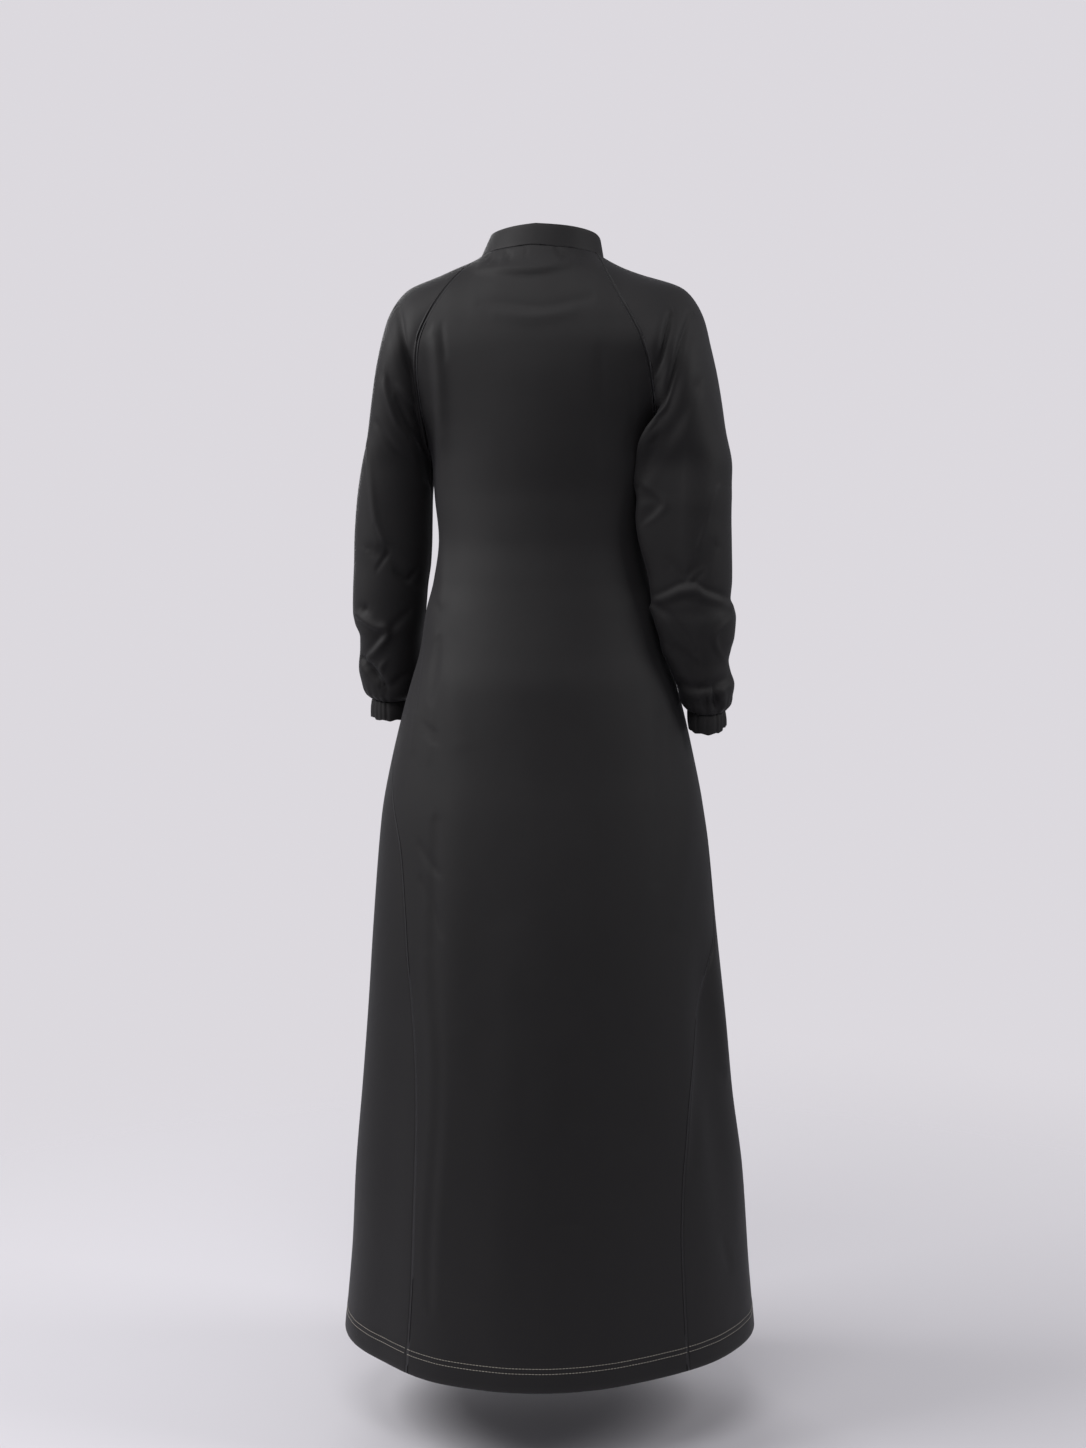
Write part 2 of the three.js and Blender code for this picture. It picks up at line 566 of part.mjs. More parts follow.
// A cuff hangs on from the sleeve's last section and stands in even gathers.
function makeCuff({ name, side, arm, wristZ }) {
  const { outer, inner, y, half, tip } = arm(wristZ);
  const slope = Math.tan(degToRad(tip));
  const pointAt = (drop, around) => {
    const angle = around * Math.PI * 2;
    const gather = CUFF_GATHER_DEPTH * Math.cos(angle * CUFF_GATHERS) * lerp(0.35, 1, drop);
    const across = -Math.cos(angle) * ((outer - inner) / 2 + gather) + CUFF_FLARE * drop;
    const along = Math.sin(angle) * (half + gather);
    const z = wristZ - SEAM_GAP - CUFF_HEIGHT * drop - slope * along;
    return new THREE.Vector3(side * ((outer + inner) / 2 + across), y + along, z);
  };
  return makePiece({
    name: `cuff_${name}`,
    levels: [1, 0.5, 0],
    columns: evenly(CUFF_GATHERS * 4),
    pointAt,
    winding: -side,
    weldedRows: 3,
  });
}

// The collar stands on the neckline and leans in towards its top edge.
function collarPoint(up, degrees) {
  const base = neckPoint(degrees);
  const [x, y] = ovalPoint(COLLAR_TOP, degrees);
  const height = lerp(COLLAR_HEIGHT.back, COLLAR_HEIGHT.front, Math.abs(degrees) / 180);
  const top = turned(x, y, base.z + height);
  base.z += SEAM_GAP;
  return base.lerp(top, up);
}

function makeCollar() {
  const edge = centreAngle(NECK.half, ZIP_OPENING);
  return makePiece({
    name: 'collar', levels: evenly(3), columns: evenly(36, -edge, edge), pointAt: collarPoint, winding: -1,
  });
}

// ---- The zip ----
// The cloth's face at x from the centre line, on a front's level or on the collar.
function zipFace({ level, up }, x) {
  const side = Math.sign(x);
  if (level) return frontPoint(side, level, (_, half) => centreAngle(half, Math.abs(x)));
  return collarPoint(up, side * centreAngle(NECK.half, Math.abs(x)));
}

// The tape runs behind both edges and the closed teeth stand up between them: one hat-shaped section.
function makeZip() {
  const bodyDepth = CLOTH + TAPE_CLEARANCE;
  const collarDepth = DOUBLED + TAPE_CLEARANCE;
  const stations = [
    ...BODY_LEVELS.slice(BODY_LEVELS.findIndex(({ z }) => z === ZIP_END_Z))
      .map((level) => ({ level, depth: level.step > 7 ? collarDepth : bodyDepth })),
    ...[0.33, 0.66, 0.96].map((up) => ({ up, depth: collarDepth })),
  ];
  const section = (station, k) => {
    const other = stations[k + 1] ?? stations[k - 1];
    const across = zipFace(station, -1).sub(zipFace(station, 1));
    const into = across.cross(zipFace(other, 1).sub(zipFace(station, 1))).normalize();
    if (k === stations.length - 1) into.negate();
    const [face, behind] = [station.depth, station.depth + TAPE_WALL];
    return [
      [-TAPE_HALF, face], [-TEETH_HALF, face], [-TEETH_HALF, TEETH_DEPTH], [TEETH_HALF, TEETH_DEPTH],
      [TEETH_HALF, face], [TAPE_HALF, face], [TAPE_HALF, behind], [TEETH_HALF, behind],
      [-TEETH_HALF, behind], [-TAPE_HALF, behind],
    ].map(([x, depth]) => zipFace(station, x).addScaledVector(into, depth));
  };
  const rings = stations.map(section);
  const around = rings[0].length;
  const triangles = [];
  for (let k = 0; k + 1 < rings.length; k += 1) {
    for (let i = 0; i < around; i += 1) {
      const [a, b] = [k * around + i, k * around + ((i + 1) % around)];
      triangles.push(a, b, b + around, a, b + around, a + around);
    }
  }
  const top = (rings.length - 1) * around;
  const cap = [[0, 1, 8], [0, 8, 9], [1, 2, 3], [1, 3, 4], [1, 4, 7], [1, 7, 8], [4, 5, 6], [4, 6, 7]];
  for (const [a, b, c] of cap) triangles.push(a, c, b, top + a, top + b, top + c);
  return geometryOf(rings.flat(), triangles);
}

// The slider and its pull are drawn in their own frame: x across, y up along the zip and z out from the
// cloth, around the slider's middle on the cloth's face.
function outlined(corners) {
  return new THREE.Shape(corners.map(([x, y]) => new THREE.Vector2(x, y)));
}

function sliderBody() {
  const { width, foot, above, below, wall, standoff } = SLIDER;
  const bevel = 0.3;
  const [top, bottom] = [width / 2 - bevel, foot / 2 - bevel];
  const shape = outlined([
    [-bottom, -below + 2], [-bottom + 1.6, -below], [bottom - 1.6, -below], [bottom, -below + 2],
    [top, above - 2], [top - 1.6, above], [-top + 1.6, above], [-top, above - 2],
  ]);
  return new THREE.ExtrudeGeometry(shape, {
    depth: wall - 2 * bevel, bevelThickness: bevel, bevelSize: bevel, bevelSegments: 1,
  }).translate(0, 0, standoff + bevel);
}

function sliderBail() {
  const { reach, room, top, under, wall } = BAIL;
  const foot = SLIDER.standoff + SLIDER.wall / 2;
  const shape = outlined([
    [-reach, foot], [-room, foot], [-room, under - 0.8], [-room + 0.7, under], [room - 0.7, under],
    [room, under - 0.8], [room, foot], [reach, foot], [reach, top - 1.5], [reach - 1.4, top],
    [-reach + 1.4, top], [-reach, top - 1.5],
  ]);
  const alongZip = new THREE.Matrix4().makeBasis(
    new THREE.Vector3(0, 1, 0), new THREE.Vector3(0, 0, 1), new THREE.Vector3(1, 0, 0),
  );
  return new THREE.ExtrudeGeometry(shape, { depth: wall, bevelEnabled: false })
    .translate(0, 0, -wall / 2).applyMatrix4(alongZip);
}

function joined(first, second, wasm) {
  const [a, b] = [first, second].map((geometry) => {
    const bare = geometry.clone().deleteAttribute('normal').deleteAttribute('uv');
    const merged = mergeVertices(bare, 1e-3);
    return new wasm.Manifold(new wasm.Mesh({
      numProp: 3, vertProperties: merged.attributes.position.array, triVerts: new Uint32Array(merged.index.array),
    }));
  });
  const mesh = a.add(b).getMesh();
  const geometry = new THREE.BufferGeometry();
  geometry.setAttribute('position', new THREE.BufferAttribute(mesh.vertProperties, 3));
  geometry.setIndex(new THREE.BufferAttribute(mesh.triVerts, 1));
  geometry.computeVertexNormals();
  return geometry;
}

function pullPlate() {
  const { width, length, wall, bar, eye, eyeHalf } = PULL;
  const half = width / 2;
  const shape = outlined([
    [-half + 0.8, bar], [-half, bar - 0.8], [-half, -eye - 2], [-half + 0.6, -length + 2],
    [-half + 1.8, -length], [half - 1.8, -length], [half - 0.6, -length + 2], [half, -eye - 2],
    [half, bar - 0.8], [half - 0.8, bar],
  ]);
  shape.holes.push(new THREE.Path([
    [-eyeHalf, -bar], [-eyeHalf, -bar - eye + 0.8], [-eyeHalf + 0.8, -bar - eye],
    [eyeHalf - 0.8, -bar - eye], [eyeHalf, -bar - eye + 0.8], [eyeHalf, -bar],
  ].map(([x, y]) => new THREE.Vector2(x, y))));
  return new THREE.ExtrudeGeometry(shape, { depth: wall, bevelEnabled: false }).translate(0, 0, -wall / 2);
}

// The slider stands near the collar's top edge. Its pull hangs from the bail down the zip.
function makeZipHead(material, wasm) {
  const foot = collarPoint(0, 180);
  const head = collarPoint(1, 180);
  const along = head.clone().sub(foot).normalize();
  const out = new THREE.Vector3(1, 0, 0).applyAxisAngle(UP, -TURN).cross(along).normalize();
  const across = new THREE.Vector3().crossVectors(along, out);
  const zipHead = new THREE.Group();
  zipHead.applyMatrix4(new THREE.Matrix4().makeBasis(across, along, out));
  zipHead.position.copy(foot.lerp(head, SLIDER.up));
  zipHead.add(named('zip_slider', joined(sliderBody(), sliderBail(), wasm), material));
  const pull = named('zip_pull', pullPlate(), material);
  pull.position.z = PULL.axisHeight;
  pull.rotation.x = degToRad(PULL.rest);
  zipHead.add(pull);
  return zipHead;
}

// ---- Materials ----
const gabardine = new THREE.MeshStandardMaterial({ color: 0x1c1b1c, roughness: 0.75, metalness: 0 });
const doubledGabardine = new THREE.MeshStandardMaterial({ color: 0x1d1c1d, roughness: 0.72, metalness: 0 });
const tapeWeave = new THREE.MeshStandardMaterial({ color: 0x161617, roughness: 0.9, metalness: 0 });
const darkMetal = new THREE.MeshStandardMaterial({ color: 0x26262a, roughness: 0.35, metalness: 0.9 });

// ---- The garment ----
async function makeJilbab() {
  const wasm = await Module();
  wasm.setup();
  const arms = [LEFT, RIGHT];
  const [back, fronts, sleeves] = [makeBack(), arms.map(makeFront), arms.map(makeSleeve)];
  sew(back, fronts, sleeves);
  const bodyThickness = (point) => (point.z < HEM_FOLD_Z + SEAM_GAP ? DOUBLED : CLOTH);
  const jilbab = new THREE.Group();
  jilbab.name = 'jilbab';
  for (const piece of [back, ...fronts, ...sleeves]) {
    jilbab.add(named(piece.name, thicken(piece, bodyThickness), gabardine));
  }
  for (const cuff of arms.map(makeCuff)) jilbab.add(named(cuff.name, thicken(cuff, () => CLOTH), gabardine));
  jilbab.add(named('collar', thicken(makeCollar(), () => DOUBLED), doubledGabardine));
  jilbab.add(named('zip', makeZip(), tapeWeave));
  jilbab.add(makeZipHead(darkMetal, wasm));
  return jilbab;
}

export default await makeJilbab();
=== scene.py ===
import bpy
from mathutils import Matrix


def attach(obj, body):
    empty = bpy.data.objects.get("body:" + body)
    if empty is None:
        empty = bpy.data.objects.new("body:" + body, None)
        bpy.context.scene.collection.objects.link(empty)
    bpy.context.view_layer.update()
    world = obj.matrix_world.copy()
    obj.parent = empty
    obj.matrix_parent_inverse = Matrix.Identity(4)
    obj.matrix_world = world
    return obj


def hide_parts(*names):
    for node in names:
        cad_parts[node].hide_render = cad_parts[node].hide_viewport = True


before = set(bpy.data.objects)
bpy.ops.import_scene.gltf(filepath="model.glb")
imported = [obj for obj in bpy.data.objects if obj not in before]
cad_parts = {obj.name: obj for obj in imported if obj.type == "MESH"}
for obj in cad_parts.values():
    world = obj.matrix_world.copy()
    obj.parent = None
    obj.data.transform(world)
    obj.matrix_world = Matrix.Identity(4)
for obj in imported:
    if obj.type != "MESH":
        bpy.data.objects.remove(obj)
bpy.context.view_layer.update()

from types import SimpleNamespace

import bmesh
import bpy
import numpy as np
from mathutils import Matrix, Vector

# The jilbab's shapes are worked out in millimetres, with +Z up, the back towards +Y and the origin in
# the middle of the neck, and are put into the meshes in metres. A level is a height below the underarm,
# always under zero, or a step of the raglan line above it, from 0 at the underarm to 8 at the neck.
MM = 0.001

# ---- Sizes ----
WALL = 1.0  # one layer of cloth
HEM_WALL = 2.0
COLLAR_WALL = 2.2
CUFF_WALL = 1.6
SEAM_ROLL = {"depth": 0.42, "width": 1.1, "lap": 0.35}  # how the cloth turns in at a seam
SEAM_TONE = {"line": -0.35, "rim": 0.2, "rim_away": 3, "rim_width": 2}  # painted shade in it, painted highlight and rubbing beside it
SKIRT_SEAM = {"share": 0.45, "below": -700, "above": -300}  # the skirt's seams are softer
FAR = 1e3  # a distance at which nothing is left of a seam or an edge
HEM_Z = -1426
HEM_TURN_UP = 32
HEM_STITCH_ROWS = (24, 30.4)
HEM_STITCH = SimpleNamespace(pitch=4.2, lift=0.12, size=(3.3, 0.75, 0.62))
UNDERARM_Z = -265
RUN_IN_Z = -330
UNDERARM_EASE = 1
BAG_CLEARANCE = 2.2
COLLAR_HEIGHT = 28
CUFF_HEIGHT = 25
CUFF_FLARE = 2
ZIP_END_Z = -520
ZIP_OPENING = 3.5
TAPE_HALF = 12
TAPE_WALL = 0.7
TAPE_DEPTH = 2.2
TEETH_PITCH = 1.5
TOOTH_SIZE = (0.95, 2.7, 1.5)
TOOTH_BEVEL = 0.28
ZIP_STITCH = SimpleNamespace(pitch=3.6, lift=0.1, size=(2.6, 0.45, 0.4))
TURN = np.radians(12)
TURN_STARTS_Z = -590
TURN_FULL_Z = -280
TURN_SHIFT = 2
SHOULDER_RISE = 3
FLOOR_Z = -1540
COLUMNS = {"back": 134, "front": 84, "sleeve": 162, "cuff": 181, "collar": 221}
SKIRT_ROW_GAP = 4.4
SLEEVE_ROW_GAP = 3
ROUTE_POINTS = 24
EASING = {"reach": 9, "passes": 24, "kept_edge": 4}  # in rows, times and columns


# ---- Tables ----
def hermite(start, leaving, end, arriving, s):
    s2, s3 = s * s, s * s * s
    return (
        (2 * s3 - 3 * s2 + 1) * start
        + (s3 - 2 * s2 + s) * leaving
        + (3 * s2 - 2 * s3) * end
        + (s3 - s2) * arriving
    )


def table(names, rows):
    """The named columns at a key, on smooth curves that stay within their rows."""
    data = np.array(rows, float)
    keys, values = data[:, 0], data[:, 1:]
    gaps = np.diff(keys)
    rises = np.diff(values, axis=0) / gaps[:, None]
    slopes = np.concatenate([rises[:1], np.zeros_like(values[2:]), rises[-1:]])
    before, after = rises[:-1], rises[1:]
    same_way = before * after > 0
    total = np.where(same_way, before + after, 1)
    slopes[1:-1] = np.where(same_way, 2 * before * after / total, 0)

    def at(key):
        key = np.asarray(key, float)
        k = np.clip(np.searchsorted(keys, key, side="right") - 1, 0, len(keys) - 2)
        gap = gaps[k][..., None]
        s = np.clip((key - keys[k])[..., None] / gap, 0, 1)
        row = hermite(values[k], slopes[k] * gap, values[k + 1], slopes[k + 1] * gap, s)
        return SimpleNamespace(**{name: row[..., c] for c, name in enumerate(names)})

    return at


def smooth(value, low, high):
    s = np.clip((np.asarray(value, float) - low) / (high - low), 0, 1)
    return s * s * (3 - 2 * s)


def blend(a, b, share):
    return a + (b - a) * share


def bell(distance, width):
    return np.exp(-((distance / width) ** 2))


def away_from(angle, degrees):
    return (degrees - angle + 540) % 360 - 180


# The body's level sections, by height.
BODY = table(["half", "mid", "widest", "back", "front"], [
    [HEM_Z, 276.5, -5, -25, 233, -230],
    [-1318, 266.5, -5, -23, 224, -217],
    [-1207, 259, -3.5, -20, 214, -203],
    [-1096, 246.5, -0.5, -18, 204, -190],
    [-987, 237, 0.5, -15, 192, -178],
    [-878, 228.3, 2, -13, 179, -166],
    [-769, 218.6, 3, -11, 163, -153],
    [-715, 211.4, 4, -10, 154, -146],
    [-662, 201, 4, -10, 144, -139],
    [-588, 183.5, 3.5, -9, 133, -131],
    [-555, 174, 3.5, -8, 128, -128],
    [-515, 162, 4, -7, 118, -126],
    [-463, 154, 4, -6, 105.5, -122],
    [-423, 143, 5, -5, 98, -121],
    [-370, 136, 5.5, -5, 92, -120],
    [-318, 142, 5, -5, 92, -122],
    [UNDERARM_Z, 150, 0, -5, 98, -128],
])

# The side seams' angles from centre back, in degrees, by height.
SIDE_SEAM = table(["left", "right"], [
    [HEM_Z, 42, 42],
    [-1270, 42, 42],
    [-1200, 42, 43.2],
    [-1130, 42.4, 47],
    [-1060, 43.6, 51.5],
    [-960, 47.5, 60.5],
    [-915, 50, 69],
    [-885, 51.5, 76.5],
    [-852, 53, 80.5],
    [-771, 58, 83.5],
    [-678, 75.5, 85],
    [-652, 83, 87],
    [-626, 88, 89],
    [-595, 90, 90],
    [UNDERARM_Z, 90, 90],
])

# The skirt's upright folds: angle, width, out, where each starts and is fullest, share left at the hem.
FLUTES = [
    (31, 8, 4, -560, -900, 0.5),
    (52, 10, -4.5, -700, -1150, 1),
    (76, 12, 2, -800, -1200, 1),
    (112, 16, -6, -700, -1200, 1),
    (143, 15, 6, -750, -1150, 1),
    (170, 14, -5, -800, -1200, 1),
    (-152, 15, 6, -720, -1100, 1),
    (-120, 17, -6, -760, -1200, 1),
    (-79, 10, 4, -820, -1040, 0.5),
    (-61, 8, -7, -850, -1000, 0.15),
    (-31, 24, -13, -900, -1380, 1),
]

NECK = SimpleNamespace(half=81, mid=4.5, widest=-10, back=62, front=-76)
NECK_Z = table(["z"], [[0, 2], [68, -5], [96, -14], [132, -38], [180, -58]])
NECK_SEAM = {"back": 68, "overarm": 96, "front": 132}
COLLAR_TOP = SimpleNamespace(half=72, mid=0.3, widest=-10, back=54, front=-67)

# The raglan line, by step: back seam b, overarm line o and front seam f, and the body and sleeve there.
RAGLAN = table(
    ["bx", "by", "bz", "ox", "oy", "oz", "fx", "fy", "fz", "mid", "lean", "pull",
     "back_y", "back_z", "front_y", "front_z", "widest", "bag"],
    [
        [0, 150, -5, -265, 245, -5, -265, 150, -5, -265, 0, 90, 240, 98, -265, -128, -265, -5, 40],
        [0.5, 151, 16, -256, 240, -5, -250, 150, -26, -258, 0, 82, 228, 99.5, -250, -129, -251, -5.3, 38],
        [1, 152, 28, -235, 236, -5, -232, 150, -40, -240, 0, 72, 215, 101, -233, -130, -236, -5.6, 32],
        [2, 153, 55, -200, 231, -5, -198, 147, -74, -208, 0, 50, 180, 103, -199, -128, -206, -6.2, 7],
        [3, 152, 73, -162, 225, -5, -163, 139, -94, -176, 1, 30, 160, 104, -163, -122, -178, -6.9, 0],
        [4, 145, 84, -121, 216, -5, -122, 126, -104, -143, 3, 12, 150, 102, -126, -114, -150, -7.5, 0],
        [5, 131, 80, -89, 206.5, -5, -84, 110, -102, -112, 4.5, 0, 145, 97, -95, -105, -124, -8.1, 0],
        [6, 112, 70, -57, 181.5, -6, -48, 92, -92, -84, 5, -15, 130, 88, -64, -96, -100, -8.7, 0],
        [7, 93, 50, -28, 129, -8, -29.5, 75, -77, -60, 5, -35, 95, 76, -32, -86, -78, -9.4, 0],
        [8, 78, 17, -6, 83.5, -17, -14, 63, -54, -38, 4.5, -60, 40, 62, 2, -76, -58, -10, 0],
    ],
)

# The sleeves' sections below the underarm, by height.
ARM_COLUMNS = ["outer", "inner", "y", "half", "tip", "bag"]
LEFT = SimpleNamespace(name="left", side=1, cuff_lift=1, wrist_z=-582, sections=table(ARM_COLUMNS, [
    [-582, 236, 184, -86, 31, 10, 0],
    [-572, 244, 176, -84, 36, 11, 0],
    [-560, 250, 170, -82, 40, 12, 0],
    [-540, 253.5, 168, -79, 44, 11, 0],
    [-515, 251, 167.5, -75, 47, 10, 0],
    [-498, 250.5, 166.5, -72, 48, 9, 0],
    [-480, 257, 164, -69, 50, 8, 0],
    [-464, 259.5, 161.5, -67, 51, 7, 0],
    [-430, 258, 158.5, -61, 53, 6, 0],
    [-400, 256, 154.5, -58, 55, 5, 0],
    [-370, 254.5, 153, -54, 56, 4, 0],
    [-318, 249.5, 152.5, -50, 58, 2, 0],
    [UNDERARM_Z, 240, 148.7, -45, 60, 0, 0],
]))
RIGHT = SimpleNamespace(name="right", side=-1, cuff_lift=6, wrist_z=-591, sections=table(ARM_COLUMNS, [
    [-591, 234, 185, 18, 29, 12, 0],
    [-574, 243, 175.5, 20, 35, 12, 2],
    [-557, 246, 170, 22, 42, 12, 4],
    [-541, 241, 165.5, 24, 43, 12, 8],
    [-526, 238, 160.5, 25, 45, 11, 10],
    [-510, 241, 157, 26, 49, 10, 15],
    [-494, 245, 155, 28, 51, 9, 17],
    [-470, 246.5, 150.5, 30, 54, 8, 20],
    [-455, 243, 146, 31, 52, 7, 21],
    [-446, 239, 143.5, 32, 52, 7, 15],
    [-422, 240.5, 141, 34, 55, 6, 15],
    [-370, 239, 138, 36, 58, 4, 25],
    [-340, 238, 140, 37, 59, 3, 30],
    [-318, 237.8, 143, 38, 60, 2, 31],
    [-293, 236, 145, 38, 61, 1, 38],
    [UNDERARM_Z, 235.5, 146.7, 38, 62, 0, 40],
]))

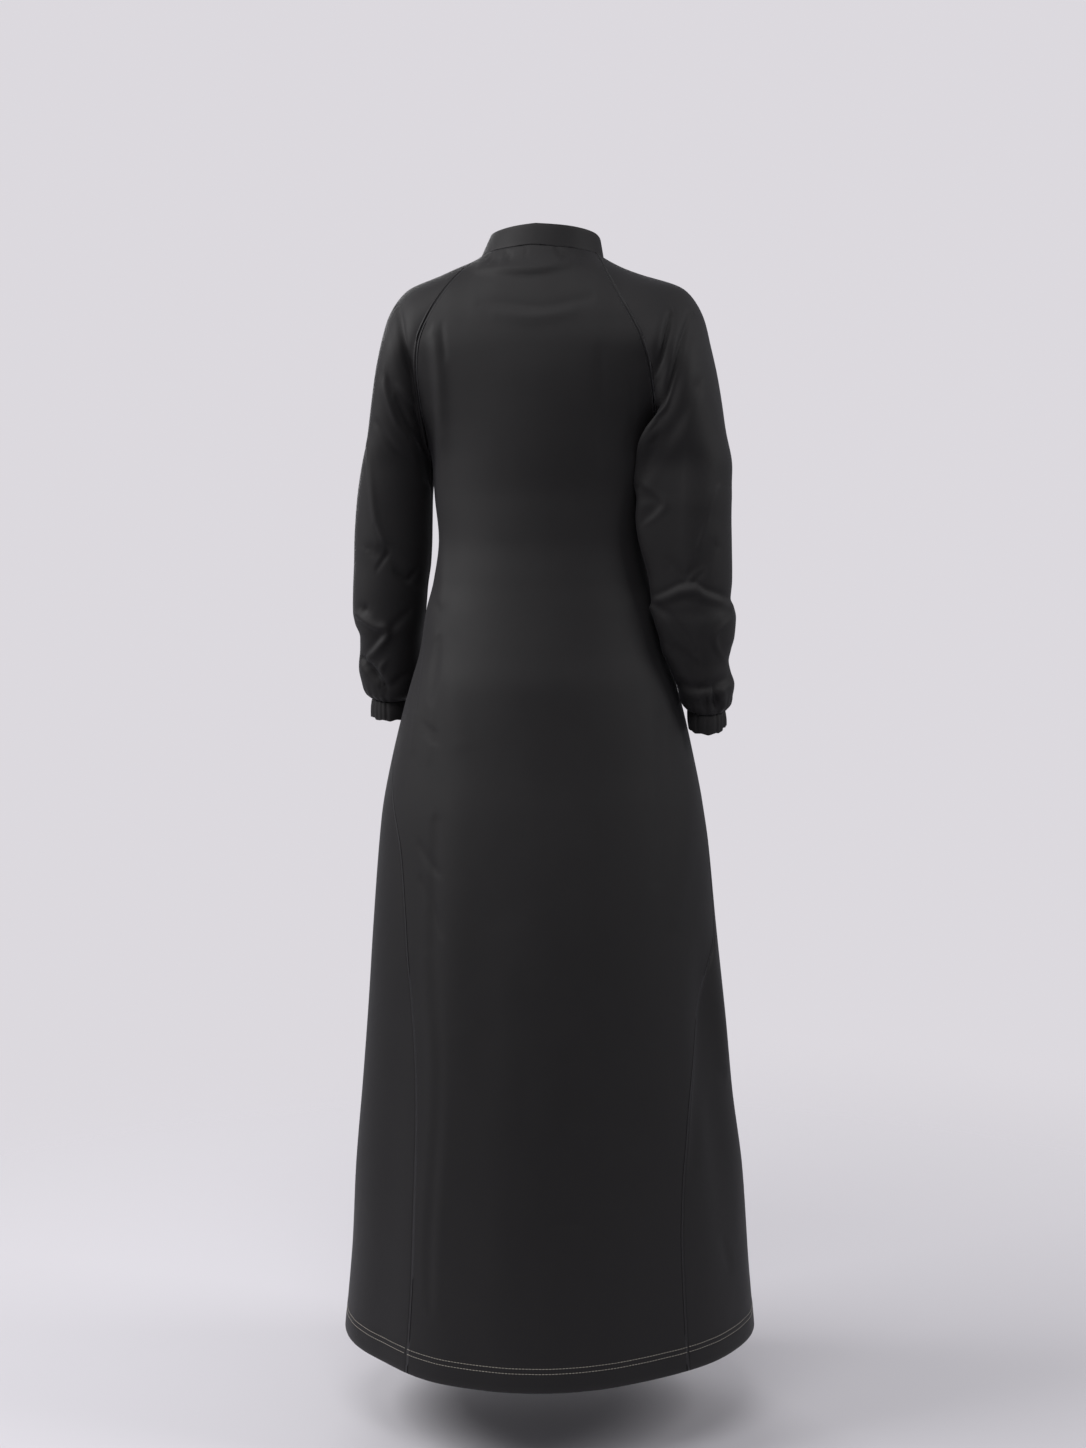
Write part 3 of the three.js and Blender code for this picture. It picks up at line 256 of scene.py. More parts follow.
# Folds as strokes on the side that faces the back (1) or the front (-1): how far each stands out (- for a
# valley), how wide it is, how far one side of it stands over the other, and its route as x, z.
FOLDS = {"back": [
    (1, -2, 2.5, 0, [(77, -8), (69, -16), (61, -20)]),
    (1, -1.7, 2.4, 0, [(52, -6), (46, -14), (41, -17)]),
    (1, -0.8, 2, 0, [(26, -3), (24, -11)]),
    (1, -2.2, 2.8, 0.4, [(-12, -4), (-21, -13), (-30, -17), (-37, -20)]),
    (1, -1, 2.2, 0, [(-42, -6), (-50, -15)]),
    (1, 3.4, 5.5, 0.3, [(84, -28), (46, -31), (8, -31), (-36, -22)]),
    (1, -1.4, 5.5, 0.2, [(83, -73), (43, -78), (1, -82), (-55, -70)]),
    (1, -1.5, 3.5, 0, [(133, -99), (131, -120), (128, -140)]),
    (1, 3.1, 7.5, 0.5, [(145, -111), (139, -168), (137, -242), (138, -318), (137, -448)]),
    (1, -2.7, 5, 0.4, [(139, -500), (144, -537), (149, -574)]),
    (1, -2.7, 5, 0, [(163, -500), (166, -533), (170, -586)]),
    (1, -1.7, 3, 0, [(158, -605), (148, -613), (139, -619)]),
    (1, -1.4, 2.6, 0, [(156, -616), (146, -624), (137, -628)]),
    (1, -1.7, 7, 0.6, [(142, -727), (145, -893), (137, -1050), (148, -1239), (149, -1331)]),
    (1, 1.6, 12, 0, [(150, -900), (134, -1050), (137, -1200), (140, -1340)]),
    (1, -1.7, 4.5, 0.3, [(161, -758), (147, -781), (137, -792)]),
    (1, -1.7, 4.5, 0.3, [(159, -801), (147, -831), (134, -866)]),
    (1, -0.8, 3.5, 0, [(-11, -1219), (-32, -1217), (-54, -1222)]),
    (1, -1.4, 7, 0, [(-67, -136), (-69, -197), (-70, -271)]),
    (1, -1.2, 6, 0, [(-105, -172), (-107, -196), (-108, -222)]),
    (1, 2, 17, 0, [(152, -449), (129, -536), (109, -623)]),
    (1, 2.5, 15, 0, [(-186, -669), (-177, -767), (-164, -849)]),
    (1, -1.5, 9, 0, [(-148, -600), (-150, -700), (-140, -800)]),
    (1, -1.4, 6, 0, [(205, -1280), (212, -1305), (214, -1335)]),
    (1, 1.1, 22, 0, [(40, -860), (52, -1050), (60, -1250), (64, -1420)]),
    (1, -1.1, 24, 0, [(-20, -900), (-30, -1100), (-36, -1300), (-40, -1420)]),
    (1, 1.4, 4.5, 0, [(160, -500), (165, -575), (172, -640)]),
    (1, 1.2, 4.5, 0, [(140, -492), (145, -575), (150, -650)]),
    (1, 1.5, 10, 0, [(60, -86), (20, -92), (-30, -86)]),
], "front_left": [
    (-1, 2.0, 16, 0, [(96, -190), (92, -300), (104, -430), (120, -560)]),
    (-1, -1.5, 8, 0.4, [(126, -330), (112, -400), (98, -450)]),
    (-1, -1.2, 6, 0.3, [(132, -372), (116, -428), (104, -470)]),
    (-1, -1.0, 5, 0, [(60, -150), (72, -190), (90, -222)]),
    (-1, -1.2, 8, 0.3, [(20, -540), (34, -620), (58, -720)]),
    (-1, -2.2, 8, 0.8, [(140, -700), (146, -880), (142, -1040), (152, -1230), (156, -1330)]),
    (-1, 2.0, 15, 0, [(186, -660), (178, -770), (168, -860)]),
    (-1, -1.0, 5, 0, [(166, -745), (150, -772), (140, -786)]),
    (-1, 1.0, 22, 0, [(66, -880), (74, -1080), (80, -1300), (82, -1420)]),
], "front_right": [
    (1, 3.0, 10, 0.6, [(-211, -890), (-221, -975), (-233, -1060)]),
    (1, -2.6, 9, 0, [(-200, -903), (-197, -1000), (-195, -1060), (-188, -1165)]),
    (1, -1.2, 4.5, 0, [(-229, -1275), (-235, -1298), (-241, -1320)]),
    (-1, 2.0, 16, 0, [(-92, -190), (-88, -300), (-98, -430), (-116, -560)]),
    (-1, -1.4, 8, 0.4, [(-120, -320), (-108, -390), (-92, -445)]),
    (-1, -1.2, 6, 0.3, [(-128, -380), (-112, -436), (-98, -476)]),
    (-1, -1.0, 5, 0, [(-52, -152), (-66, -192), (-86, -226)]),
    (-1, -1.2, 8, 0.3, [(-14, -545), (-26, -630), (-50, -735)]),
    (-1, -2.0, 8, 0.7, [(-132, -720), (-140, -890), (-138, -1060), (-146, -1240), (-150, -1340)]),
    (-1, 1.8, 15, 0, [(-182, -670), (-176, -780), (-166, -870)]),
    (-1, -1.0, 5, 0, [(-160, -760), (-146, -786), (-136, -800)]),
    (-1, -0.9, 22, 0, [(-58, -900), (-66, -1100), (-72, -1300), (-76, -1420)]),
], "sleeve_left": [
    (1, -5, 10, 0.5, [(193, -84), (186, -122), (169, -168), (162, -223), (154, -290)]),
    (1, -3, 3.4, 0.7, [(191, -79), (185, -118), (178, -145), (169, -167)]),
    (1, 3, 13, 0, [(212, -120), (223, -183), (229, -241), (228, -302), (216, -370)]),
    (1, 2.4, 3.6, -0.5, [(206, -156), (206, -172), (200, -196), (191, -220), (181, -234)]),
    (1, 2.6, 3.6, 0.5, [(191, -177), (179, -187), (164, -200)]),
    (1, -2.8, 4, 0.5, [(193, -192), (186, -206), (175, -228), (160, -250)]),
    (1, -3, 8, 0.5, [(208, -165), (193, -185), (170, -213)]),
    (1, -1.8, 3.6, 0.4, [(219, -220), (206, -241), (191, -259), (176, -268)]),
    (1, 2.0, 4, 0.5, [(231, -244), (229, -292), (225, -337), (219, -362), (211, -382)]),
    (1, -1.8, 3, 0.4, [(224, -353), (218, -370), (209, -384), (215, -396), (223, -408)]),
    (1, -2.4, 3.4, 0.4, [(199, -412), (190, -420), (180, -424), (169, -410)]),
    (1, -3, 9, 0.4, [(228, -386), (208, -394), (188, -414), (171, -429)]),
    (1, -3.5, 5.5, 0, [(244, -459), (236, -464)]),
    (1, 4, 4.8, 0.8, [(250, -472), (227, -486), (215, -489), (213, -494), (223, -510), (239, -527)]),
    (1, 2.6, 11, 0, [(242, -486), (240, -500), (242, -514)]),
    (1, -2, 5, 0.4, [(216, -500), (200, -484), (181, -465)]),
    (1, -5, 5, 0.8, [(246, -530), (235, -545), (220, -562)]),
    (1, -3, 8, 0.3, [(240, -545), (226, -560)]),
    (1, 1.8, 3.4, 0.4, [(214, -530), (221, -539), (221, -551)]),
    (1, -2, 5, 0.4, [(190, -548), (204, -560), (220, -566)]),
    (-1, -5, 11, 0.4, [(190, -100), (178, -150), (165, -210)]),
    (-1, -5, 10, 0.4, [(225, -360), (200, -390), (172, -400)]),
    (-1, -1, 7, 0, [(226, -396), (212, -412), (190, -420)]),
    (-1, 6, 12, 0.5, [(178, -440), (205, -452), (238, -446)]),
    (-1, -3, 7, 0.4, [(180, -476), (204, -488), (236, -480)]),
    (-1, -5, 9, 0.5, [(185, -545), (205, -560), (230, -556)]),
    (-1, -2.2, 6, 0.4, [(218, -150), (206, -200), (190, -236)]),
], "sleeve_right": [
    (1, -4.5, 9, 0.5, [(-156, -94), (-150, -115), (-142, -144), (-137, -169)]),
    (1, -3.2, 3.2, -0.7, [(-156, -91), (-153, -107), (-145, -138), (-137, -163)]),
    (1, -4.5, 9, 0.5, [(-183, -94), (-167, -136), (-151, -196), (-138, -221)]),
    (1, -3.2, 3.2, -0.6, [(-181, -93), (-174, -115), (-166, -143), (-157, -169), (-147, -202)]),
    (1, 1.6, 4, 0, [(-164, -84), (-161, -104), (-155, -126)]),
    (1, 2.6, 3.4, 0, [(-149, -196), (-145, -208), (-136, -216)]),
    (1, -3.4, 2.6, 0.4, [(-145, -195), (-140, -203), (-134, -210)]),
    (1, -2.2, 3, 0.3, [(-139, -240), (-134, -246), (-129, -251)]),
    (1, 1.6, 4, 0, [(-149, -246), (-137, -267), (-130, -281)]),
    (1, -3, 9, 0.5, [(-119, -301), (-138, -264), (-160, -236), (-191, -183)]),
    (1, 2.0, 3.6, 0.5, [(-123, -302), (-138, -314), (-148, -326), (-140, -338), (-127, -349)]),
    (1, -2.4, 9, 0.4, [(-120, -312), (-136, -326), (-124, -342)]),
    (1, 1.7, 3.6, 0.4, [(-217, -305), (-205, -334), (-200, -355), (-192, -380)]),
    (1, 1.8, 3.2, 0.4, [(-155, -402), (-164, -414), (-174, -425)]),
    (1, 1.8, 3.2, -0.4, [(-199, -407), (-188, -416), (-181, -425)]),
    (1, -3, 8, 0.3, [(-159, -405), (-178, -420), (-197, -408), (-214, -380)]),
    (1, -2, 3, 0, [(-137, -442), (-155, -434), (-172, -426), (-190, -425), (-200, -432), (-219, -439),
                   (-236, -445)]),
    (1, 4.2, 6, 0, [(-137, -451), (-155, -444), (-172, -436), (-190, -435), (-200, -442), (-219, -449),
                    (-238, -456)]),
    (1, 1.4, 12, 0, [(-160, -462), (-190, -456), (-222, -468)]),
    (1, 1.8, 3.6, 0.5, [(-236, -472), (-220, -484), (-214, -495), (-218, -510), (-226, -522)]),
    (1, -2.8, 5, 0.5, [(-139, -456), (-155, -466), (-166, -481), (-178, -497), (-190, -515)]),
    (1, -4, 9, 0.5, [(-165, -514), (-184, -530), (-193, -559)]),
    (1, -4, 6, 0.6, [(-172, -557), (-191, -564), (-216, -560), (-239, -549)]),
    (1, -5, 4, 0.5, [(-215, -566), (-217, -578), (-219, -589)]),
    (1, 3, 5, 0, [(-227, -562), (-229, -584)]),
    (1, -2.5, 3.5, 0.4, [(-204, -572), (-206, -589)]),
    (-1, -5, 11, 0.4, [(-195, -100), (-182, -150), (-165, -205)]),
    (-1, -5, 10, 0.4, [(-228, -350), (-205, -385), (-175, -398)]),
    (-1, -2.4, 6, 0.4, [(-230, -384), (-212, -406), (-186, -416)]),
    (-1, 6, 12, 0.5, [(-170, -470), (-200, -480), (-236, -470)]),
    (-1, -3, 7, 0.4, [(-176, -500), (-204, -512), (-232, -504)]),
    (-1, -5, 9, 0.5, [(-178, -548), (-205, -565), (-232, -555)]),
]}

# Each cuff's pleats: the angle round the wrist from its inner side over its back, width and depth.
PLEATS = {"left": [
    (14, 7, 1.3), (38, 5, 0.9), (98, 6, 1.6), (112, 5, 1.5), (127, 6, 2.2), (144, 7, 2.4),
    (161, 6, 2.0), (178, 6, 2.2), (197, 6, 1.8), (214, 7, 2.0), (236, 6, 1.6), (262, 7, 1.9),
    (284, 6, 1.5), (309, 6, 1.8), (335, 6, 1.5),
], "right": [
    (12, 6, 1.2), (54, 5, 1.7), (84, 5, 0.7), (116, 5, 1.9), (130, 5, 1.4), (148, 6, 2.3),
    (166, 6, 2.1), (186, 6, 1.9), (206, 6, 1.7), (229, 7, 1.9), (255, 6, 1.6), (281, 7, 1.9),
    (306, 6, 1.6), (334, 6, 1.4),
]}


# ---- Surfaces ----
def stacked(x, y, z):
    return np.stack(np.broadcast_arrays(x, y, z), axis=-1).astype(float)


def turned(x, y, z):
    share = smooth(z, TURN_STARTS_Z, TURN_FULL_Z)
    c, s = np.cos(TURN * share), np.sin(TURN * share)
    rise = SHOULDER_RISE * np.sign(x) * smooth(np.abs(x), 80, 115) * smooth(z, -170, -70)
    return stacked(x * c + y * s + TURN_SHIFT * share, y * c - x * s, z + rise)


def oval(row, degrees, out=0):
    s, c = np.sin(np.radians(degrees)), np.cos(np.radians(degrees))
    reach = np.where(c >= 0, row.back - row.widest, row.widest - row.front)
    long = np.hypot(s * reach, c * row.half)
    x = row.mid + row.half * s + out * s * reach / long
    y = row.widest + reach * c + out * c * row.half / long
    return x, y


def flute_out(z, degrees):
    total = np.zeros(np.broadcast(z, degrees).shape)
    for angle, width, out, starts, fullest, at_hem in FLUTES:
        growing = 1 - smooth(z, fullest, starts)
        fading = blend(at_hem, 1, smooth(z, HEM_Z, fullest))
        total = total + out * growing * fading * bell(away_from(angle, degrees), width)
    return total


def body_at(z, degrees):
    x, y = oval(BODY(z), degrees, flute_out(z, degrees))
    return turned(x, y, z)


def neck_at(degrees):
    x, y = oval(NECK, degrees)
    return turned(x, y, NECK_Z(np.abs(degrees)).z)


def into_neck(step, points, degrees):
    share = smooth(step, 7, 8)[..., None]
    return points + (neck_at(degrees) - points) * share


def yoke_oval(row, seam_x, seam_y, centre_y):
    seam_angle = np.arccos((seam_y - row.widest) / (centre_y - row.widest))
    return seam_angle, seam_x / np.sin(seam_angle)


def centre_angle(half, x):
    return 180 - np.degrees(np.arcsin(x / half))


def back_surface(level, across):
    """across runs from -1 at the wearer's right to 1 at the left."""
    z, step = np.minimum(level, UNDERARM_Z), np.maximum(level, 0)
    seams = SIDE_SEAM(z)
    skirt = body_at(z, across * np.where(across > 0, seams.left, seams.right))
    row = RAGLAN(step)
    seam_angle, half = yoke_oval(row, row.bx, row.by, row.back_y)
    a = seam_angle * across
    yoke = turned(
        row.mid + half * np.sin(a),
        row.widest + np.cos(a) * (row.back_y - row.widest),
        row.back_z + (row.bz - row.back_z) * across**2,
    )
    yoke = into_neck(step, yoke, NECK_SEAM["back"] * across)
    return np.where((level < 0)[..., None], skirt, yoke)


def front_surface(side, level, inward):
    """inward runs from 0 at the side or raglan seam to 1 at the centre edge."""
    z, step = np.minimum(level, UNDERARM_Z), np.maximum(level, 0)
    seams = SIDE_SEAM(z)
    opening = ZIP_OPENING * smooth(level, ZIP_END_Z - 8, ZIP_END_Z + 4)
    seam = seams.left if side > 0 else seams.right
    skirt = body_at(z, side * blend(seam, centre_angle(BODY(z).half, opening), inward))
    row = RAGLAN(step)
    seam_angle, half = yoke_oval(row, row.fx, row.fy, row.front_y)
    seam_angle = np.degrees(seam_angle)
    angle = blend(180 - seam_angle, centre_angle(half, opening), inward)
    share = (180 - angle) / seam_angle
    yoke = turned(
        row.mid + side * half * np.sin(np.radians(angle)),
        row.widest + np.cos(np.radians(angle)) * (row.widest - row.front_y),
        row.front_z + (row.fz - row.front_z) * share**2,
    )
    yoke = into_neck(step, yoke, side * blend(180, NECK_SEAM["front"], share))
    return np.where((level < 0)[..., None], skirt, yoke)


def raglan_part(side, step, at_back, s):
    row = RAGLAN(step)
    ease = side * row.mid + UNDERARM_EASE * (1 - smooth(step, 0, 2))
    lean = np.radians(row.lean)
    leave_x, leave_y = np.cos(lean) * row.pull, np.sin(lean) * row.pull
    back_half = stacked(
        hermite(row.bx + ease, leave_x, row.ox, 0, s),
        hermite(row.by, leave_y, row.oy, -row.pull, s),
        hermite(row.bz, 0, row.oz, 0, s),
    )
    front_half = stacked(
        hermite(row.ox, 0, row.fx + ease, -leave_x, s),
        hermite(row.oy, -row.pull, row.fy, leave_y, s),
        hermite(row.oz, 0, row.fz, 0, s),
    )
    local = np.where(at_back[..., None], back_half, front_half)
    neck_angle = np.where(
        at_back,
        blend(NECK_SEAM["back"], NECK_SEAM["overarm"], s),
        blend(NECK_SEAM["overarm"], NECK_SEAM["front"], s),
    )
    points = turned(side * local[..., 0], local[..., 1], local[..., 2])
    return into_neck(step + 0 * s, points, side * neck_angle)


def arm_part(arm, z, at_back, s):
    row = arm.sections(z)
    angle = TURN * smooth(z, TURN_STARTS_Z, TURN_FULL_Z)
    c, sn = np.cos(angle), np.sin(angle)
    along = hermite(0, 0, 1, 0, s)
    outward = (row.outer - row.inner) / c * (np.where(at_back, along, 1 - along) - 0.5)
    backward = np.where(at_back, 4, -4) * row.half * s * (1 - s)
    x = arm.side * (row.outer + row.inner) / 2 + outward * arm.side * c + backward * sn
    y = row.y - outward * arm.side * sn + backward * c
    return stacked(x, y, z - np.tan(np.radians(row.tip)) * (y - row.y)), row.bag


def clear_of_body(points, where):
    """Points that lie inside the body's section are moved straight out of it."""
    body = BODY(np.clip(points[..., 2], HEM_Z, UNDERARM_Z))
    share = smooth(points[..., 2], TURN_STARTS_Z, TURN_FULL_Z)
    c, s = np.cos(TURN * share), np.sin(TURN * share)
    x, y = points[..., 0] - TURN_SHIFT * share, points[..., 1]
    x, y = x * c - y * s, x * s + y * c
    wide = body.half + BAG_CLEARANCE + np.maximum(points[..., 2] - UNDERARM_Z, 0) * 0.3
    deep = body.back - body.widest + BAG_CLEARANCE
    u, v = (x - body.mid) / wide, (y - body.widest) / deep
    size = np.maximum(np.hypot(u, v), 1e-6)
    moved = turned(body.mid + u / size * wide, body.widest + v / size * deep, points[..., 2])
    inside = where & (size < 1) & (v >= 0)
    return np.where(inside[..., None], moved, points)


def sleeve_surface(arm, level, around):
    """around runs from 0 at the back seam, over the arm at 0.5, to 1 at the front seam."""
    z, step = np.minimum(level, UNDERARM_Z), np.maximum(level, 0)
    at_back = around <= 0.5
    s = np.where(at_back, around * 2, around * 2 - 1)
    upper = raglan_part(arm.side, step, at_back, s)
    lower, bag = arm_part(arm, z, at_back, s)
    top = np.full_like(z, UNDERARM_Z)
    to_raglan = raglan_part(arm.side, 0 * z, at_back, s) - arm_part(arm, top, at_back, s)[0]
    lower = lower + to_raglan * smooth(z, RUN_IN_Z, UNDERARM_Z)[..., None]
    points = np.where((level < 0)[..., None], lower, upper)
    if arm.side < 0:
        # The cloth bags towards the body, and stays clear of it except where it is sewn to it.
        bag = np.where(level < 0, bag, RAGLAN(step).bag)
        points[..., 0] += np.where(at_back, bag * np.sin(np.pi * np.clip(s / 0.45, 0, 1)) ** 2, 0)
        cleared = clear_of_body(points, at_back & (bag > 0))
        free = np.maximum(smooth(s, 0, 0.06), 1 - smooth(z, UNDERARM_Z - 15, UNDERARM_Z))
        points = blend(points, cleared, free[..., None])
    return points


def collar_at(up, degrees):
    base = neck_at(degrees)
    x, y = oval(COLLAR_TOP, degrees)
    top = turned(x, y, base[..., 2] + COLLAR_HEIGHT)
    return base + (top - base) * np.asarray(up)[..., None]


# ---- Working on a grid of points: rows run up the piece, columns run round it ----
def on_grid(rows, columns):
    """Each row's and each column's value at every point of their grid."""
    return np.meshgrid(rows, columns, indexing="ij")


def unit(vectors):
    return vectors / np.maximum(np.linalg.norm(vectors, axis=-1, keepdims=True), 1e-9)


def normals_of(points, welded=0):
    """Normals out of the cloth; the first and last columns are one in the welded rows."""
    round_it, up = np.gradient(points, axis=1), np.gradient(points, axis=0)
    if welded:
        both = points[:welded, 1] - points[:welded, -2]
        round_it[:welded, 0] = round_it[:welded, -1] = both / 2
    normals = unit(np.cross(round_it, up))
    normals[:welded, 0] = normals[:welded, -1] = unit(normals[:welded, 0] + normals[:welded, -1])
    return normals


def spans(points, axis):
    """Distances along the rows or columns from the first point."""
    steps = np.linalg.norm(np.diff(points, axis=axis), axis=-1)
    start = np.zeros_like(np.take(steps, [0], axis=axis))
    return np.concatenate([start, np.cumsum(steps, axis=axis)], axis=axis)


def curved(route):
    """A smooth line through a route's points."""
    route = np.array(route, float)
    ends = [2 * route[0] - route[1], *route, 2 * route[-1] - route[-2]]
    share = np.linspace(0, len(route) - 1, ROUTE_POINTS)
    k = np.minimum(share.astype(int), len(route) - 2)
    s = (share - k)[:, None]
    p = np.array(ends)
    a, b, c, d = p[k], p[k + 1], p[k + 2], p[k + 3]
    return hermite(b, (c - a) / 2, c, (d - b) / 2, s)


def fold_out(points, normals, folds):
    """How far the folds move each point along its normal."""
    out = np.zeros(points.shape[:2])
    for facing, height, width, lean, route in folds:
        line = curved(route)
        x, z = points[..., 0], points[..., 2]
        near = 3 * width
        box = (
            (x > line[:, 0].min() - near) & (x < line[:, 0].max() + near)
            & (z > line[:, 1].min() - near) & (z < line[:, 1].max() + near)
            & (normals[..., 1] * facing > 0.05)
        )
        spots = np.stack([x[box], z[box]], axis=-1)
        best, signed, travelled = np.full(len(spots), 1e9), np.zeros(len(spots)), np.zeros(len(spots))
        for k, (start, end) in enumerate(zip(line[:-1], line[1:])):
            way = end - start
            s = np.clip((spots - start) @ way / max(way @ way, 1e-9), 0, 1)
            gap = spots - start - s[:, None] * way
            distance = np.hypot(gap[:, 0], gap[:, 1])
            closer = distance < best
            best = np.where(closer, distance, best)
            cross = way[0] * gap[:, 1] - way[1] * gap[:, 0]
            signed = np.where(closer, np.sign(cross) * distance, signed)
            travelled = np.where(closer, (k + s) / (len(line) - 1), travelled)
        fullness = 0.45 + 0.55 * np.sin(np.pi * np.clip(travelled, 0.02, 0.98)) ** 0.7
        spread = width * (0.75 + 0.35 * fullness)
        shape = bell(best, spread)
        lip = -1.6 * lean * (signed / spread) * np.exp(-((best / spread) ** 2) * 0.7)
        seen = smooth(normals[..., 1][box] * facing, 0.05, 0.4)
        out[box] += height * fullness * seen * (shape + lip)
    return out


def eased(points, row):
    """Smooths the rows about one row, less towards the first and last columns."""
    rows, columns = points.shape[:2]
    near = bell(np.arange(rows) - row, EASING["reach"])[1:-1, None, None]
    edge = np.minimum(np.arange(columns), np.arange(columns)[::-1])
    inner = np.clip(edge / EASING["kept_edge"], 0, 1)[None, :, None]
    for _ in range(EASING["passes"]):
        middle = (points[:-2] + points[2:]) / 2
        points[1:-1] += (middle - points[1:-1]) * near * inner * 0.5
    return points


def seam_roll(distance):
    return -SEAM_ROLL["depth"] * bell(distance, SEAM_ROLL["width"])


def lapped(points, rows):
    """Runs the first and last columns of some rows a little way under the piece that they are sewn to."""
    for edge, inner in ((0, 1), (-1, -2)):
        points[rows, edge] += unit(points[rows, edge] - points[rows, inner]) * SEAM_ROLL["lap"]
    return points


def in_seam(distance):
    # Painted shade along the seam line, and a lighter rim beside it that is painted highlight and rubbing.
    rim = bell(distance - SEAM_TONE["rim_away"], SEAM_TONE["rim_width"])
    return SEAM_TONE["line"] * bell(distance, 1) + SEAM_TONE["rim"] * rim


def edged(count, first=0.0, last=1.0):
    """Even shares from first to last, with two more close to each end."""
    even = np.linspace(0, 1, count + 1)[1:-1]
    shares = np.concatenate([[0, 0.003, 0.009], even, [0.991, 0.997, 1]])
    return first + (last - first) * shares


def levels_between(bottom, top, gap):
    count = max(1, round((top - bottom) / gap))
    return np.linspace(bottom, top, count + 1)


ABOVE_HEM = np.array([0, 0.6, 1.6, 4, 9, 15, 20, 22.6, 24, 25.4, 27.4, 29, 30.4, 31.8, 33.4, 36])
SKIRT_LEVELS = np.concatenate(
    [HEM_Z + ABOVE_HEM, levels_between(HEM_Z + 40, UNDERARM_Z, SKIRT_ROW_GAP)])
RAGLAN_STEPS = np.concatenate([levels_between(0.12, 7.87, 0.125), [7.93, 7.975, 8]])
BODY_LEVELS = np.concatenate([SKIRT_LEVELS, RAGLAN_STEPS])
UNDERARM_ROW = len(SKIRT_LEVELS) - 1


# ---- Making meshes and pieces ----
def new_object(name, bm, material, smooth_shaded=True):
    mesh = bpy.data.meshes.new(name)
    bm.to_mesh(mesh)
    bm.free()
    if smooth_shaded:
        mesh.shade_smooth()
    mesh.materials.append(material)
    piece = bpy.data.objects.new(name, mesh)
    bpy.context.scene.collection.objects.link(piece)
    return piece


def grid_mesh(points, uv, worn=None, doubled=None, welded=0):
    """A grid of quads through the points. Its UV map is the cloth laid flat; the seam shading and rubbing
    are painted shade below zero in a seam and painted highlight and rubbing above zero; doubled is the
    share of the wall's thickness, and the welded rows are closed into rings."""
    rows, columns = points.shape[:2]
    bm = bmesh.new()
    bmesh.ops.create_grid(bm, x_segments=columns - 1, y_segments=rows - 1, size=1)
    bm.verts.ensure_lookup_table()
    bm.verts.index_update()
    flat_uv = uv.reshape(-1, 2)
    wear_and_shading_layer = bm.verts.layers.float.new("worn")
    wall = bm.verts.layers.deform.verify()
    worn = np.zeros((rows, columns)) if worn is None else worn
    doubled = np.ones((rows, columns)) if doubled is None else doubled
    for vert, spot, share, thick in zip(bm.verts, points.reshape(-1, 3) * MM, worn.flat, doubled.flat):
        vert.co = spot
        vert[wear_and_shading_layer] = share
        vert[wall][0] = thick
    uv_layer = bm.loops.layers.uv.new("cloth")
    for face in bm.faces:
        for loop in face.loops:
            loop[uv_layer].uv = flat_uv[loop.vert.index]
    if welded:
        ends = [bm.verts[j * columns + i] for j in range(welded) for i in (0, columns - 1)]
        bmesh.ops.remove_doubles(bm, verts=ends, dist=1e-6)
    return bm


def cloth_uv(points):
    across = spans(points, 1)
    across = across - across[:, -1:] / 2
    up = spans(points, 0)[:, points.shape[1] // 2][:, None]
    return np.stack(np.broadcast_arrays(across, up), axis=-1) * MM


def walled(piece, thickness):
    piece.vertex_groups.new(name="wall")
    wall = piece.modifiers.new("wall", "SOLIDIFY")
    wall.thickness = thickness * MM
    wall.offset = -1
    wall.vertex_group = "wall"
    wall.thickness_vertex_group = 0.02
    wall.use_even_offset = False
    wall.use_rim = True


# ---- Materials ----
def put(tree, node, sockets):
    """Sets or links a node's inputs by name or number."""
    for socket, value in sockets.items():
        if isinstance(value, bpy.types.NodeSocket):
            tree.links.new(value, node.inputs[socket])
        else:
            node.inputs[socket].default_value = value


def new_node(tree, kind, sockets=(), **settings):
    node = tree.nodes.new(f"ShaderNode{kind}")
    for name, value in settings.items():
        setattr(node, name, value)
    put(tree, node, dict(sockets))
    return node


def node_group(name, inputs, outputs):
    group = bpy.data.node_groups.new(name, "ShaderNodeTree")
    for socket, kind, default in inputs:
        made = group.interface.new_socket(name=socket, in_out="INPUT", socket_type=kind)
        if default is not None:
            made.default_value = default
    for socket in outputs:
        group.interface.new_socket(name=socket, in_out="OUTPUT", socket_type="NodeSocketFloat")
    return group, group.nodes.new("NodeGroupInput").outputs, group.nodes.new("NodeGroupOutput")


def maths(tree, operation, *values):
    return new_node(tree, "Math", enumerate(values), operation=operation).outputs[0]


def noise(tree, place, scale, detail):
    sockets = {"Vector": place, "Scale": scale, "Detail": detail}
    return new_node(tree, "TexNoise", sockets).outputs["Fac"]


def bumped(tree, height, strength, depth, **under):
    sockets = {"Height": height, "Strength": strength, "Distance": depth * MM}
    return new_node(tree, "Bump", {**sockets, **under}).outputs[0]


def mixed(tree, share, dark, light):
    sockets = {"A": (*dark, 1), "B": (*light, 1), "Factor": share}
    return new_node(tree, "Mix", sockets, data_type="RGBA").outputs["Result"]


